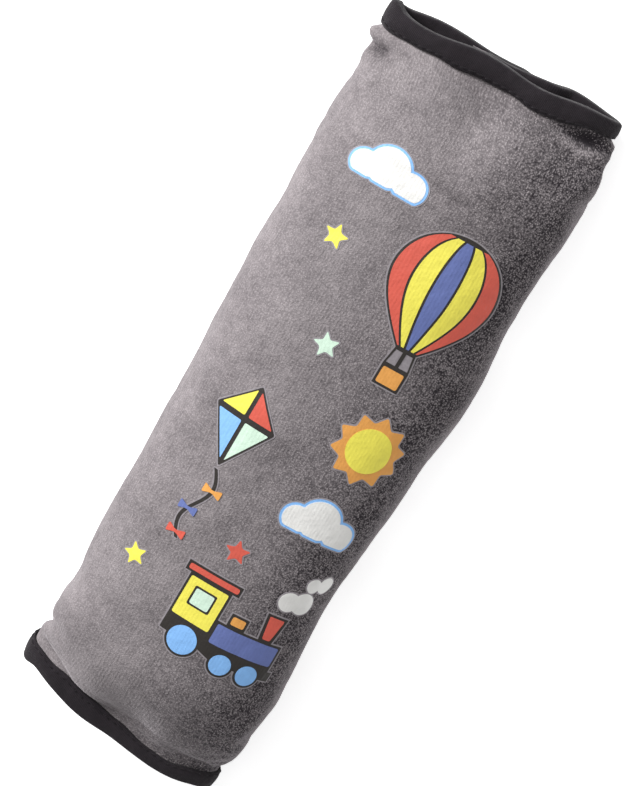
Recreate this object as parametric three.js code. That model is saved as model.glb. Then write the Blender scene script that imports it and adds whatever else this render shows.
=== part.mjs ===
// A child's padded seat belt sleeve. A quilted panel is wrapped round the belt, bound with tape
// at both ends and closed along its back by a hook and loop fastener. It lies on its back.
//
// X runs along the sleeve towards the head end, Z points up out of the printed front, and Y points
// to the left of the print. The sleeve is drawn straight, as sections in Y and Z at distances
// "along" it from its middle, and its slightly crooked ends come last.

import * as THREE from 'three';
import { TessellateModifier } from 'three/addons/modifiers/TessellateModifier.js';
import { mergeVertices } from 'three/addons/utils/BufferGeometryUtils.js';

// Driving dimensions of the sleeve, in millimetres
const LENGTH = 300;
const HEAD_WIDTH = 97.5;
const FOOT_WIDTH = 93;
const HEIGHT = 48;
const WIDEST_LEVEL = 20;
const TAPER_REACH = 60;
const SQUARENESS = 2.3;

// The bound ends, where the padding is pressed flat, a little to the left of the body's middle
const HEAD_END_WIDTH = 92;
const FOOT_END_WIDTH = 89;
const HEAD_END_HEIGHT = 24;
const FOOT_END_HEIGHT = 27;
const END_SHIFT = 2.5;
const END_LIFT = 2.5;
const END_DIP = 3;
const END_DIP_HALF_WIDTH = 22;
const END_LEVEL_SHARE = 1 / 2.4;
const CLOSING_RUN = 38;
const NARROWING_RUN = 18;
const LIFT_RUN = 23;
const PINCH_RUN = 4;

// How the ends stray from square. At the head the front is shorter than the back, at the foot longer.
const SKEW_RUN = 90;
const HEAD_SKEW = 2.4;
const HEAD_BOW = 0.6;
const HEAD_SET_BACK = 2.5;
const HEAD_FRONT_SHORT = 2.8;
const FOOT_SKEW = 5.2;
const FOOT_BOW = 4.5;
const FOOT_SET_BACK = 0.8;
const FOOT_BACK_SHORT = 4;

// The layers
const VELOUR = 1.5;
const VELOUR_PRESSED = 1;
const LINING = 0.8;
const LINING_PRESSED = 0.6;
const TAPE = 0.7;
const TAPE_WIDTH = 9;
const TAPE_CORNER = 0.5;
const GAP = 0.3;

// The belt's slot and the closure under it
const SLOT_HEIGHT = 13;
const SLOT_CORNER = 5;
const SLOT_LEVEL_SHARE = 0.4;
const OVERLAP = 27;
const STEP_GAP = 3.5;
const STEP_RUN = 8;
const FLOOR_EDGE = 3;
const STRIP = 1.2;
const STRIP_WIDTH = 20;
const STRIP_END_MARGIN = 37;

// The puckers beside the bindings, and single dents and swells in the padding
const PUCKER_DEPTH = 0.8;
const PUCKER_PITCH = 31;
const PUCKER_RUN = 45;
const DENTS = [
  { along: 129, arc: 44, reach: 4, spread: 6, depth: 3 },
  { along: 134, arc: 56, reach: 3.5, spread: 9, depth: -2.4 },
  { along: 137, arc: -37, reach: 4, spread: 12, depth: 2.2 },
  { along: 134, arc: -58, reach: 5, spread: 10, depth: -2.4 },
  { along: -128, arc: 58, reach: 5, spread: 12, depth: 5 },
  { along: -102, arc: 62, reach: 14, spread: 20, depth: 1 },
  { along: -96, arc: 22, reach: 8, spread: 16, depth: 0.9 },
  { along: 86, arc: -64, reach: 24, spread: 20, depth: 1.9 },
  { along: 32, arc: -62, reach: 20, spread: 22, depth: -1.6 },
  { along: -52, arc: -62, reach: 24, spread: 22, depth: 2 },
];

// The print: film pieces on the velour, and colour fields on the larger of them
const FILM = 0.25;
const FILM_GAP = 0.35;
const FILM_FACET = 9;
const FIELD_EDGE = 0.9;
const BALLOON = {
  radius: 20, height: 46, belly: 26, neck: 4,
  basketHalf: 5, basketTop: -7, basketBottom: -15, rope: 0.7,
};
const GORE_SHARES = [-1, -0.6, -0.2, 0.2, 0.6, 1];
const SUN = { rays: 10, tip: 14, root: 10.5, disc: 8.5 };
const CLOUD = { rounds: [[-9, 0, 6], [-1, 3, 8.5], [8.5, 0, 6.5]], floor: -5 };
const SMOKE = { rounds: [[-3, 0, 4], [2.5, 1, 4.5]], floor: -4 };
const SMOKE_EDGES = [0, 1];
const KITE = {
  top: 13, half: 12, bottom: -20, quarterShare: 0.8, tail: 30, tailSway: 3, tailHalf: 0.7,
  tailSteps: 8, bow: 3.6, knot: 0.6, bowShares: [0.27, 0.6, 0.93],
};
const STAR = { points: 5, tip: 5, root: 2.2 };

// Where the print's motifs lie: up as a share of the length, right as a share of the width
const BALLOON_SPOT = { up: 0.153, right: 0.19 };
const SUN_SPOT = { up: 0.027, right: 0.265 };
const ENGINE_SPOT = { up: -0.313, right: 0.159 };
const KITE_SPOT = { up: -0.013, right: -0.18 };
const CLOUD_SPOTS = [{ up: 0.323, right: -0.18 }, { up: -0.087, right: 0.254 }];
const SMOKE_SPOTS = [{ up: -0.187, right: 0.339 }, { up: -0.157, right: 0.402 }];
const STAR_SPOTS = [
  { up: 0.227, right: -0.233 }, { up: 0.113, right: -0.064, turn: 0.4 },
  { up: -0.16, right: 0.042, turn: 0.2 }, { up: -0.233, right: -0.286, turn: 0.5 },
];

// The toy engine, from a corner to the corner across, with a dark rim round each field
const ENGINE_RIM = [
  [24, 5], [24, 9], [22, 9], [22, 20], [17, 20], [18.5, 31], [10, 31], [11.5, 20], [5.5, 20],
  [5.5, 25], [-1.5, 25], [-1.5, 20], [-5, 20], [-5, 31], [-2.5, 31], [-2.5, 35], [-24.5, 35],
  [-24.5, 31], [-22, 31], [-22, 6.5],
];
const ENGINE_WHEELS = [[-12.5, 6.5, 6.5], [4, 5, 5], [15, 5, 5]];
const CAB = [[-21.1, 14], [-5.9, 30.1]];
const CAB_OPENING = [[-18, 19.5], [-9, 27.5]];
const WINDOW = [[-17.2, 20.3], [-9.8, 26.7]];
const ROOF = [[-23.6, 31.9], [-3.4, 34.1]];
const BOILER = [[-4.1, 11.2], [21.1, 19.1]];
const DOME = [[-0.6, 20.9], [4.6, 24.1]];
const CHIMNEY = [[12.7, 20.9], [15.8, 20.9], [17.3, 30.1], [11.2, 30.1]];

// How finely the forms are divided
const ARC_STEPS = 24;
const FINE_ARC_STEPS = 96;
const BODY_STEPS = 2;
const CLOSING_STEPS = 4;
const ROUND_STEPS = 16;
const CLOUD_STEPS = 24;
const BALLOON_STEPS = 7;
const WHEEL_STEPS = 5;
const FILM_DIVISIONS = 8;
const FILM_ROUGHNESS = 0.3;

const COLOURS = {
  velour: 0xa09a9a,
  wadding: 0xf2f0ea,
  lining: 0x2b2a2c,
  tape: 0x2a282c,
  fastener: 0x1e1e20,
  charcoal: 0x38342f,
  white: 0xf4f3ee,
  yellow: 0xf3e95d,
  orange: 0xe8a455,
  red: 0xda6554,
  blueViolet: 0x6373ac,
  lightBlue: 0x8abff9,
  mint: 0xddf4e2,
};

// Places that follow from the dimensions
const END = LENGTH / 2;
const TAPE_START = END - TAPE_WIDTH;
const CLOTH_END = END - TAPE - GAP;
const PRESSED_START = TAPE_START - GAP;
const CLOSING_START = PRESSED_START - CLOSING_RUN;
const LIFT_START = PRESSED_START - LIFT_RUN;
const PINCH_START = PRESSED_START - PINCH_RUN;
const FLAP_EDGE = OVERLAP / 2;
const STEP_TOP = FLAP_EDGE + STEP_GAP;
const STEP_FOOT = STEP_TOP + STEP_RUN;
const FLOOR_HALF = STEP_FOOT + FLOOR_EDGE;
const SLOT_HALF = FLOOR_HALF + SLOT_CORNER;
const FLAP = VELOUR + GAP + LINING;
const TAPED_WALL = 2 * TAPE + VELOUR_PRESSED + LINING_PRESSED + 3 * GAP;
const CLOSURE = FLAP + 3 * GAP + 2 * STRIP;
const SLOT_FLOOR = CLOSURE + FLAP;

const mix = (from, to, share) => from + (to - from) * share;
const clamp = (value) => Math.min(1, Math.max(0, value));

function ease(value) {
  const share = clamp(value);
  return share * share * (3 - 2 * share);
}

// Evenly spaced numbers, both ends included
function steps(from, to, count) {
  return Array.from({ length: count + 1 }, (_, i) => mix(from, to, i / count));
}

function material(colour, roughness) {
  return new THREE.MeshStandardMaterial({ color: colour, roughness, metalness: 0 });
}

// The share of a change that is done at a place along the sleeve, where the change runs up to
// the bindings and is quickest there
function shareAt(along, run) {
  const share = clamp((Math.abs(along) - PRESSED_START + run) / run);
  return 1 - Math.cos((share * Math.PI) / 2);
}

// The dimensions of the section at a place along the sleeve
function sectionAt(along) {
  const reach = Math.abs(along);
  const closing = shareAt(along, CLOSING_RUN);
  const pinch = ease((reach - PINCH_START) / PINCH_RUN);
  const bodyWidth = mix(FOOT_WIDTH, HEAD_WIDTH, ease(0.5 + along / TAPER_REACH / 2));
  const lift = END_LIFT * ease((reach - LIFT_START) / LIFT_RUN);
  const [endWidth, endHeight] = along > 0
    ? [HEAD_END_WIDTH, HEAD_END_HEIGHT]
    : [FOOT_END_WIDTH, FOOT_END_HEIGHT];
  return {
    along,
    closing,
    pinch,
    lift,
    half: mix(bodyWidth, endWidth, shareAt(along, NARROWING_RUN)) / 2,
    top: mix(HEIGHT, endHeight, closing) - lift,
    level: mix(WIDEST_LEVEL, (endHeight - END_LIFT) * END_LEVEL_SHARE, closing),
    dip: END_DIP * closing,
    flapRise: mix(CLOSURE, TAPED_WALL + GAP, pinch),
    velour: mix(VELOUR, VELOUR_PRESSED, pinch),
    lining: mix(LINING, LINING_PRESSED, pinch),
    inset: (TAPE + GAP) * pinch,
  };
}

// A rounded arch from the print's right edge of the floor over the top to its left edge, through
// (-FLOOR_HALF, floor) and (FLOOR_HALF, floor), widest at level and highest at top
function arch(half, floor, level, top, count) {
  const foot = FLOOR_HALF / half;
  const below = (level - floor) / (1 - foot ** SQUARENESS) ** (1 / SQUARENESS);
  const above = top - level;
  const start = Math.atan2((level - floor) / below, foot);
  return steps(Math.PI + start, -start, count).map((angle) => {
    const [y, z] = [Math.cos(angle), Math.sin(angle)];
    const reach = (Math.abs(y) ** SQUARENESS + Math.abs(z) ** SQUARENESS) ** (-1 / SQUARENESS);
    return new THREE.Vector2(half * reach * y, level + (z > 0 ? above : below) * reach * z);
  });
}

const INNER_FLAP = steps(FLAP_EDGE, -STEP_TOP, 2);
const STEP = steps(STEP_TOP, STEP_FOOT, 3).slice(1);
const OUTER_FLAP = steps(STEP_TOP, -FLAP_EDGE, 3);
const ARCH_FIRST = INNER_FLAP.length + STEP.length;
const ARCH_LAST = ARCH_FIRST + ARC_STEPS;

// Shares of the step's height that are left at each of its points
const stepShare = (y) => 1 - ease((y - STEP_TOP) / STEP_RUN);

// The outside of the wall, from the inner flap's free edge round to the outer flap's
function outerFace(section) {
  const { half, level, top, dip, flapRise } = section;
  const over = arch(half, 0, level, top, ARC_STEPS);
  for (const point of over) {
    if (point.y > level) {
      point.y -= dip * (1 - ease(Math.abs(point.x) / END_DIP_HALF_WIDTH));
    }
  }
  return [
    ...INNER_FLAP.map((y) => new THREE.Vector2(y, flapRise)),
    ...STEP.map((y) => new THREE.Vector2(-y, flapRise * stepShare(y))),
    ...over,
    ...STEP.toReversed().map((y) => new THREE.Vector2(y, 0)),
    ...OUTER_FLAP.map((y) => new THREE.Vector2(y, 0)),
  ];
}

// The inside of the wall while it is padded: a flat lens over the closure
function paddedSlotFace() {
  const roof = SLOT_FLOOR + SLOT_HEIGHT;
  const level = mix(SLOT_FLOOR, roof, SLOT_LEVEL_SHARE);
  return [
    ...INNER_FLAP.map((y) => new THREE.Vector2(y, SLOT_FLOOR)),
    ...STEP.map((y) => new THREE.Vector2(-y, SLOT_FLOOR)),
    ...arch(SLOT_HALF, SLOT_FLOOR, level, roof, ARC_STEPS),
    ...STEP.toReversed().map((y) => new THREE.Vector2(y, mix(SLOT_FLOOR, FLAP, stepShare(y)))),
    ...OUTER_FLAP.map((y) => new THREE.Vector2(y, FLAP)),
  ];
}

// The unit vectors that point into the wall from its outside
function inwardNormals(face) {
  return face.map((_, i) => {
    const before = face[Math.max(i - 1, 0)];
    const after = face[Math.min(i + 1, face.length - 1)];
    const run = after.clone().sub(before).normalize();
    return new THREE.Vector2(run.y, -run.x);
  });
}

// A face moved into the wall; depth is a number, or a function of the point's index
function moved(face, normals, depth) {
  return face.map((point, i) => {
    const distance = typeof depth === 'function' ? depth(i) : depth;
    return point.clone().addScaledVector(normals[i], distance);
  });
}

// Distances round the outside, positive to the left of the middle of the front
function arcsFrom(face) {
  const arcs = [0];
  for (let i = 1; i < face.length; i += 1) {
    arcs.push(arcs[i - 1] + face[i].distanceTo(face[i - 1]));
  }
  const crown = (ARCH_FIRST + ARCH_LAST) / 2;
  return arcs.map((arc) => arc - arcs[crown]);
}

// How far the puckers and dents draw the padding in
function relief(section, arc) {
  const reach = Math.abs(section.along);
  const near = ease((reach - PRESSED_START + PUCKER_RUN) / PUCKER_RUN) * (1 - section.pinch);
  const ripple = PUCKER_DEPTH * near * (1 + Math.cos((2 * Math.PI * arc) / PUCKER_PITCH));
  const dents = DENTS.map((dent) => {
    const alongShare = (section.along - dent.along) / dent.reach;
    const arcShare = (arc - dent.arc) / dent.spread;
    return dent.depth * Math.exp(-(alongShare ** 2) - arcShare ** 2) * (1 - section.pinch);
  });
  return dents.reduce((sum, dent) => sum + dent, ripple);
}

// The faces of every layer at a place along the sleeve, as points in Y and Z
function layersAt(along) {
  const section = sectionAt(along);
  const outer = outerFace(section);
  const normals = inwardNormals(outer);
  const arcs = arcsFrom(outer);
  const taped = moved(outer, normals, TAPED_WALL);
  const slot = paddedSlotFace().map((point, i) => {
    const onFlap = i < INNER_FLAP.length || i >= outer.length - OUTER_FLAP.length;
    return point.lerp(taped[i], onFlap ? section.pinch : section.closing);
  });
  const outward = inwardNormals(slot).map((normal) => normal.negate());
  const drawnIn = (i) => (i > ARCH_FIRST && i < ARCH_LAST ? relief(section, arcs[i]) : 0);
  const fromOutside = (depth) => moved(outer, normals, (i) => section.inset + depth + drawnIn(i));
  const fromSlot = (depth) => (
    moved(slot, outward, (i) => section.inset + depth - drawnIn(i) * section.closing)
  );
  return {
    lift: section.lift,
    outer,
    normals,
    velourOut: fromOutside(0),
    velourIn: fromOutside(section.velour),
    waddingOut: fromOutside(section.velour + GAP),
    waddingIn: fromSlot(section.lining + GAP),
    liningOut: fromSlot(section.lining),
    liningIn: fromSlot(0),
  };
}

// How far the real head's edge lies inside the straight sleeve's
function headInset(y, z) {
  const side = (2 * y) / HEAD_END_WIDTH;
  const short = HEAD_FRONT_SHORT * clamp(z / HEAD_END_HEIGHT);
  return HEAD_SET_BACK + HEAD_SKEW * side + HEAD_BOW * side ** 2 + short;
}

function footInset(y, z) {
  const side = (2 * y) / FOOT_END_WIDTH;
  const short = FOOT_BACK_SHORT * (1 - clamp(z / FOOT_END_HEIGHT));
  return FOOT_SET_BACK + FOOT_SKEW * side + FOOT_BOW * side ** 2 + short;
}

// Puts a point of the straight sleeve on the real one, with its crooked ends
function place(along, y, z) {
  const pull = ease((Math.abs(along) - END + SKEW_RUN) / SKEW_RUN);
  const x = along > 0 ? along - pull * headInset(y, z) : along + pull * footInset(y, z);
  return [x, y + END_SHIFT * shareAt(along, NARROWING_RUN), z];
}

// A closed body from its points and triangles, with its faces turned outwards
function body(points, triangles) {
  const corner = (index) => new THREE.Vector3(...points[index]);
  const volume = triangles.reduce(
    (sum, [a, b, c]) => sum + corner(a).dot(corner(b).cross(corner(c))),
    0,
  );
  const outward = volume > 0 ? triangles : triangles.map(([a, b, c]) => [a, c, b]);
  const geometry = new THREE.BufferGeometry();
  geometry.setAttribute('position', new THREE.Float32BufferAttribute(points.flat(), 3));
  geometry.setIndex(outward.flat());
  geometry.computeVertexNormals();
  return geometry;
}

// A body through rings of points, closed by the same cap at its first and last ring. From the
// point "turned" on, the rings run back, and the facets' diagonals turn with them.
function loft(rings, cap, turned = Infinity) {
  const count = rings[0].length;
  const triangles = [];
  for (let r = 0; r < rings.length - 1; r += 1) {
    for (let i = 0; i < count; i += 1) {
      const [a, b] = [r * count + i, r * count + ((i + 1) % count)];
      const [c, d] = [a + count, b + count];
      triangles.push(...(i < turned ? [[a, b, d], [a, d, c]] : [[a, b, c], [b, d, c]]));
    }
  }
  const last = (rings.length - 1) * count;
  for (const [a, b, c] of cap) {
    triangles.push([c, b, a], [a + last, b + last, c + last]);
  }
  return body(rings.flat(), triangles);
}

// A sheet that lies between two faces at each of its stations
function sheet(stations, pick, first, last) {
  const rings = stations.map((along) => {
    const layers = layersAt(along);
    const [upper, lower] = pick(layers);
    const loop = [...upper.slice(first, last), ...lower.slice(first, last).reverse()];
    return loop.map((point) => place(along, point.x, point.y + layers.lift));
  });
  const count = rings[0].length;
  const cap = [];
  for (let i = 0; i < count / 2 - 1; i += 1) {
    cap.push([i, i + 1, count - 2 - i], [i, count - 2 - i, count - 1 - i]);
  }
  return loft(rings, cap, count / 2);
}

// Stations from end to end, close together where the padding closes
function stationsTo(reach) {
  const closing = steps(CLOSING_START, PINCH_START, CLOSING_STEPS).slice(1);
  const half = [...steps(0, CLOSING_START, BODY_STEPS), ...closing];
  if (reach > PINCH_START) {
    half.push(PRESSED_START, reach);
  }
  return [...half.slice(1).reverse().map((along) => -along), ...half];
}

function velourCover() {
  return sheet(stationsTo(CLOTH_END), (layers) => [layers.velourOut, layers.velourIn]);
}

function lining() {
  return sheet(stationsTo(CLOTH_END), (layers) => [layers.liningOut, layers.liningIn]);
}

// The wadding fills the wall between the two steps and stops short of the bindings
function filling() {
  const pick = (layers) => [layers.waddingOut, layers.waddingIn];
  return sheet(stationsTo(PINCH_START), pick, ARCH_FIRST - 2, ARCH_LAST + 3);
}

// Tape folded over the edge of the wall, from one flap's free edge round to the other's
function binding(end) {
  const sides = [
    [TAPE_START, 0], [END - TAPE_CORNER, 0], [END, TAPE_CORNER],
    [END, TAPED_WALL - TAPE_CORNER], [END - TAPE_CORNER, TAPED_WALL], [TAPE_START, TAPED_WALL],
    [TAPE_START, TAPED_WALL - TAPE], [END - TAPE, TAPED_WALL - TAPE],
    [END - TAPE, TAPE], [TAPE_START, TAPE],
  ];
  const corners = sides.map(([along, depth]) => new THREE.Vector2(along, depth));
  const cap = THREE.ShapeUtils.triangulateShape(corners, []);
  const { outer, normals, lift } = layersAt(end * END);
  const rings = outer.map((point, i) => sides.map(([along, depth]) => {
    const at = point.clone().addScaledVector(normals[i], depth);
    return place(end * along, at.x, at.y + lift);
  }));
  return loft(rings, cap);
}

// Half of the fastener, sewn flat on its flap
function strip(bottom) {
  const length = LENGTH - 2 * STRIP_END_MARGIN;
  const geometry = new THREE.BoxGeometry(length, STRIP_WIDTH, STRIP);
  return geometry.translate(0, 0, bottom + STRIP / 2);
}

// Where a point of the print lies: up the sleeve, and to the right of the middle of its front
function frontPoint(up, right, raised) {
  const section = sectionAt(up);
  const front = arch(section.half, 0, section.level, section.top, FINE_ARC_STEPS);
  const normals = inwardNormals(front);
  const crown = FINE_ARC_STEPS / 2;
  const way = right > 0 ? -1 : 1;
  let here = crown;
  let left = Math.abs(right);
  let span = front[here].distanceTo(front[here + way]);
  while (left > span) {
    left -= span;
    here += way;
    span = front[here].distanceTo(front[here + way]);
  }
  const share = left / span;
  const point = front[here].clone().lerp(front[here + way], share);
  const normal = normals[here].clone().lerp(normals[here + way], share).normalize();
  point.addScaledVector(normal, relief(section, -right) - raised);
  return place(up, point.x, point.y + section.lift);
}

// A film in the outline of a shape, laid on the front at a place and turned about it
function film(shape, { up, right, turn = 0 }, layer) {
  const flat = new THREE.ShapeGeometry(shape, WHEEL_STEPS);
  const divided = new TessellateModifier(FILM_FACET, FILM_DIVISIONS).modify(flat);
  divided.deleteAttribute('normal');
  divided.deleteAttribute('uv');
  const { index, attributes } = mergeVertices(divided, 1e-3);
  const count = attributes.position.count;
  const bottom = FILM_GAP + layer * (FILM + FILM_GAP);
  const side = (raised) => Array.from({ length: count }, (_, i) => {
    const at = new THREE.Vector2(attributes.position.getX(i), attributes.position.getY(i));
    at.rotateAround(new THREE.Vector2(), turn);
    return frontPoint(LENGTH * up + at.y, HEAD_WIDTH * right + at.x, raised);
  });
  const upper = Array.from({ length: index.count / 3 }, (_, i) => (
    [0, 1, 2].map((corner) => index.getX(3 * i + corner))
  ));
  const edges = upper.flatMap(([a, b, c]) => [[a, b], [b, c], [c, a]]);
  const paired = new Set(edges.map(([a, b]) => `${b},${a}`));
  const rim = edges.filter(([a, b]) => !paired.has(`${a},${b}`));
  const triangles = [
    ...upper,
    ...upper.map((triangle) => triangle.map((i) => i + count).reverse()),
    ...rim.flatMap(([a, b]) => [[b, a, a + count], [b, a + count, b + count]]),
  ];
  return body([...side(bottom + FILM), ...side(bottom)], triangles);
}

// Outlines of the print, with their top towards plus Y
function outline(points) {
  return new THREE.Shape(points.map(([x, y]) => new THREE.Vector2(x, y)));
}

function box([left, bottom], [right, top]) {
  return outline([[left, bottom], [right, bottom], [right, top], [left, top]]);
}

function round(radius, [x, y] = [0, 0]) {
  return outline(steps(0, 2 * Math.PI, ROUND_STEPS).slice(1).map((angle) => (
    [x + radius * Math.cos(angle), y + radius * Math.sin(angle)]
  )));
}

function spiked(count, outerRadius, innerRadius) {
  return outline(steps(0, -2 * Math.PI, 2 * count).slice(1).map((angle, i) => {
    const radius = i % 2 ? outerRadius : innerRadius;
    return [radius * Math.sin(angle), radius * Math.cos(angle)];
  }));
}

// A cloud is the outline of overlapping rounds, cut off flat below and drawn in by an edge
function cloud({ rounds, floor }, edge) {
  return outline(steps(0, 2 * Math.PI, CLOUD_STEPS).slice(1).map((angle) => {
    const [x, y] = [Math.cos(angle), Math.sin(angle)];
    const reaches = rounds.map(([middle, level, radius]) => {
      const near = middle * x + level * y;
      const square = near ** 2 - middle ** 2 - level ** 2 + (radius - edge) ** 2;
      return square > 0 ? near + Math.sqrt(square) : 0;
    });
    const flat = y < 0 ? (floor + edge) / y : Infinity;
    const reach = Math.min(Math.max(...reaches), flat);
    return [x * reach, y * reach];
  }));
}

// A balloon's half width over its neck
function balloonHalf(level) {
  const { radius, height, belly, neck } = BALLOON;
  return level > belly
    ? radius * Math.sqrt(Math.max(0, 1 - ((level - belly) / (height - belly)) ** 2))
    : mix(neck, radius, Math.sin((Math.PI * level) / belly / 2));
}

// The dark backing of the balloon, with its ropes and the back of its basket
function balloonBacking() {
  const { height, neck, basketHalf, basketTop, basketBottom, rope } = BALLOON;
  const levels = steps(0, 1, BALLOON_STEPS).map((share) => height * Math.sin((share * Math.PI) / 2));
  const right = levels.map((level) => [balloonHalf(level), level]);
  const left = right.slice(0, -1).reverse().map(([x, y]) => [-x, y]);
  const shape = outline([
    [-basketHalf, basketBottom], [basketHalf, basketBottom], [basketHalf, basketTop],
    ...right, ...left, [-basketHalf, basketTop],
  ]);
  for (const way of [-1, 1]) {
    shape.holes.push(outline([
      [way * rope, -rope], [way * rope, basketTop + rope],
      [way * (basketHalf - rope), basketTop + rope], [way * (neck - rope), -rope],
    ]));
  }
  return shape;
}

// One gore of the balloon, between two shares of its half width
function gore(from, to) {
  const levels = steps(FIELD_EDGE, BALLOON.height - 2 * FIELD_EDGE, BALLOON_STEPS);
  const inner = (share, way, level) => {
    const edge = Math.abs(share) === 1 ? FIELD_EDGE : FIELD_EDGE / 2;
    return [share * balloonHalf(level) + way * edge, level];
  };
  return outline([
    ...levels.map((level) => inner(to, -1, level)),
    ...levels.toReversed().map((level) => inner(from, 1, level)),
  ]);
}

// The dark backing of the toy engine, rounded under its wheels
function engineBacking() {
  const shape = new THREE.Shape();
  shape.moveTo(...ENGINE_RIM.at(-1));
  for (const [x, y, radius] of ENGINE_WHEELS) {
    shape.absarc(x, y, radius, Math.PI, 2 * Math.PI);
  }
  ENGINE_RIM.slice(0, -1).forEach(([x, y]) => shape.lineTo(x, y));
  return shape;
}

// The four quarters of the kite, drawn in from its edges and its cross
function kiteQuarters() {
  const { top, half, bottom, quarterShare } = KITE;
  return [[1, top], [-1, top], [-1, bottom], [1, bottom]].map(([way, tip]) => {
    const points = [[0, 0], [way * half, 0], [0, tip]];
    return outline(points.map(([x, y]) => [
      mix((way * half) / 3, x, quarterShare), mix(tip / 3, y, quarterShare),
    ]));
  });
}

// The middle of the kite's tail at a share of its length
function kiteTailAt(share) {
  const { bottom, tail, tailSway, tailHalf } = KITE;
  return [tailSway * Math.sin(2 * Math.PI * share), bottom - 2 * tailHalf - tail * share];
}

function kiteTail() {
  const { tailHalf, tailSteps } = KITE;
  const middles = steps(0, 1, tailSteps).map(kiteTailAt);
  return outline([
    ...middles.map(([x, y]) => [x - tailHalf, y]),
    ...middles.toReversed().map(([x, y]) => [x + tailHalf, y]),
  ]);
}

// A bow on the kite's tail, two wings with a knot between them
function kiteBow(share) {
  const { bow, knot } = KITE;
  const [x, y] = kiteTailAt(share);
  return outline([[-1, -1], [1, -1], [1, 1], [-1, 1]].flatMap(([a, b]) => {
    const wing = [x + a * bow, y + (b * bow) / 2];
    const waist = [x + a * knot, y + b * knot];
    return a * b > 0 ? [wing, waist] : [waist, wing];
  }));
}

const pieces = [];

function add(name, geometry, colour, roughness) {
  const mesh = new THREE.Mesh(geometry, material(colour, roughness));
  mesh.name = name;
  pieces.push(mesh);
}

function print(name, shape, colour, spot, layer = 0) {
  add(`print_${name}`, film(shape, spot, layer), colour, FILM_ROUGHNESS);
}

add('velour_cover', velourCover(), COLOURS.velour, 0.95);
add('filling', filling(), COLOURS.wadding, 1);
add('lining', lining(), COLOURS.lining, 0.85);
add('binding_head', binding(1), COLOURS.tape, 0.8);
add('binding_foot', binding(-1), COLOURS.tape, 0.8);
add('hook_strip', strip(FLAP + GAP), COLOURS.fastener, 0.9);
add('loop_strip', strip(FLAP + 2 * GAP + STRIP), COLOURS.fastener, 0.9);

print('balloon_backing', balloonBacking(), COLOURS.charcoal, BALLOON_SPOT);
const goreColours = [COLOURS.red, COLOURS.yellow, COLOURS.blueViolet, COLOURS.yellow, COLOURS.red];
goreColours.forEach((colour, i) => {
  const shape = gore(GORE_SHARES[i], GORE_SHARES[i + 1]);
  print(`balloon_gore_${i + 1}`, shape, colour, BALLOON_SPOT, 1);
});
const { basketHalf, basketTop, basketBottom } = BALLOON;
const basket = box(
  [FIELD_EDGE - basketHalf, FIELD_EDGE + basketBottom],
  [basketHalf - FIELD_EDGE, basketTop - FIELD_EDGE],
);
print('balloon_basket', basket, COLOURS.orange, BALLOON_SPOT, 1);

print('sun_rays', spiked(SUN.rays, SUN.tip, SUN.root), COLOURS.orange, SUN_SPOT);
print('sun_disc', round(SUN.disc), COLOURS.yellow, SUN_SPOT, 1);

CLOUD_SPOTS.forEach((spot, i) => {
  print(`cloud_${i + 1}_edge`, cloud(CLOUD, 0), COLOURS.lightBlue, spot);
  print(`cloud_${i + 1}`, cloud(CLOUD, FIELD_EDGE), COLOURS.white, spot, 1);
});
SMOKE_SPOTS.forEach((spot, i) => {
  print(`smoke_${i + 1}`, cloud(SMOKE, SMOKE_EDGES[i]), COLOURS.white, spot);
});

print('engine_backing', engineBacking(), COLOURS.charcoal, ENGINE_SPOT);
const cab = box(...CAB);
cab.holes.push(box(...CAB_OPENING));
print('engine_cab', cab, COLOURS.yellow, ENGINE_SPOT, 1);
print('engine_window', box(...WINDOW), COLOURS.mint, ENGINE_SPOT, 1);
print('engine_roof', box(...ROOF), COLOURS.red, ENGINE_SPOT, 1);
print('engine_boiler', box(...BOILER), COLOURS.blueViolet, ENGINE_SPOT, 1);
print('engine_dome', box(...DOME), COLOURS.orange, ENGINE_SPOT, 1);
print('engine_chimney', outline(CHIMNEY), COLOURS.red, ENGINE_SPOT, 1);
ENGINE_WHEELS.forEach(([x, y, radius], i) => {
  const wheel = round(radius - FIELD_EDGE, [x, y]);
  print(`engine_wheel_${i + 1}`, wheel, COLOURS.lightBlue, ENGINE_SPOT, 1);
});

const { top, half, bottom } = KITE;
const kite = outline([[0, bottom], [half, 0], [0, top], [-half, 0]]);
print('kite_backing', kite, COLOURS.charcoal, KITE_SPOT);
const quarterColours = [COLOURS.red, COLOURS.yellow, COLOURS.lightBlue, COLOURS.mint];
kiteQuarters().forEach((shape, i) => {
  print(`kite_quarter_${i + 1}`, shape, quarterColours[i], KITE_SPOT, 1);
});
print('kite_tail', kiteTail(), COLOURS.charcoal, KITE_SPOT);
const bowColours = [COLOURS.orange, COLOURS.blueViolet, COLOURS.red];
bowColours.forEach((colour, i) => {
  print(`kite_bow_${i + 1}`, kiteBow(KITE.bowShares[i]), colour, KITE_SPOT, 1);
});

const starColours = [COLOURS.yellow, COLOURS.mint, COLOURS.red, COLOURS.yellow];
STAR_SPOTS.forEach((spot, i) => {
  print(`star_${i + 1}`, spiked(STAR.points, STAR.tip, STAR.root), starColours[i], spot);
});

const model = new THREE.Group();
model.add(...pieces);
export default model;
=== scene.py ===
"""A child's padded velour seat belt sleeve, lying on a plain pale floor."""
import math

import bpy
import numpy as np
from mathutils import Matrix, Vector, noise
from mathutils.geometry import delaunay_2d_cdt


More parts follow.
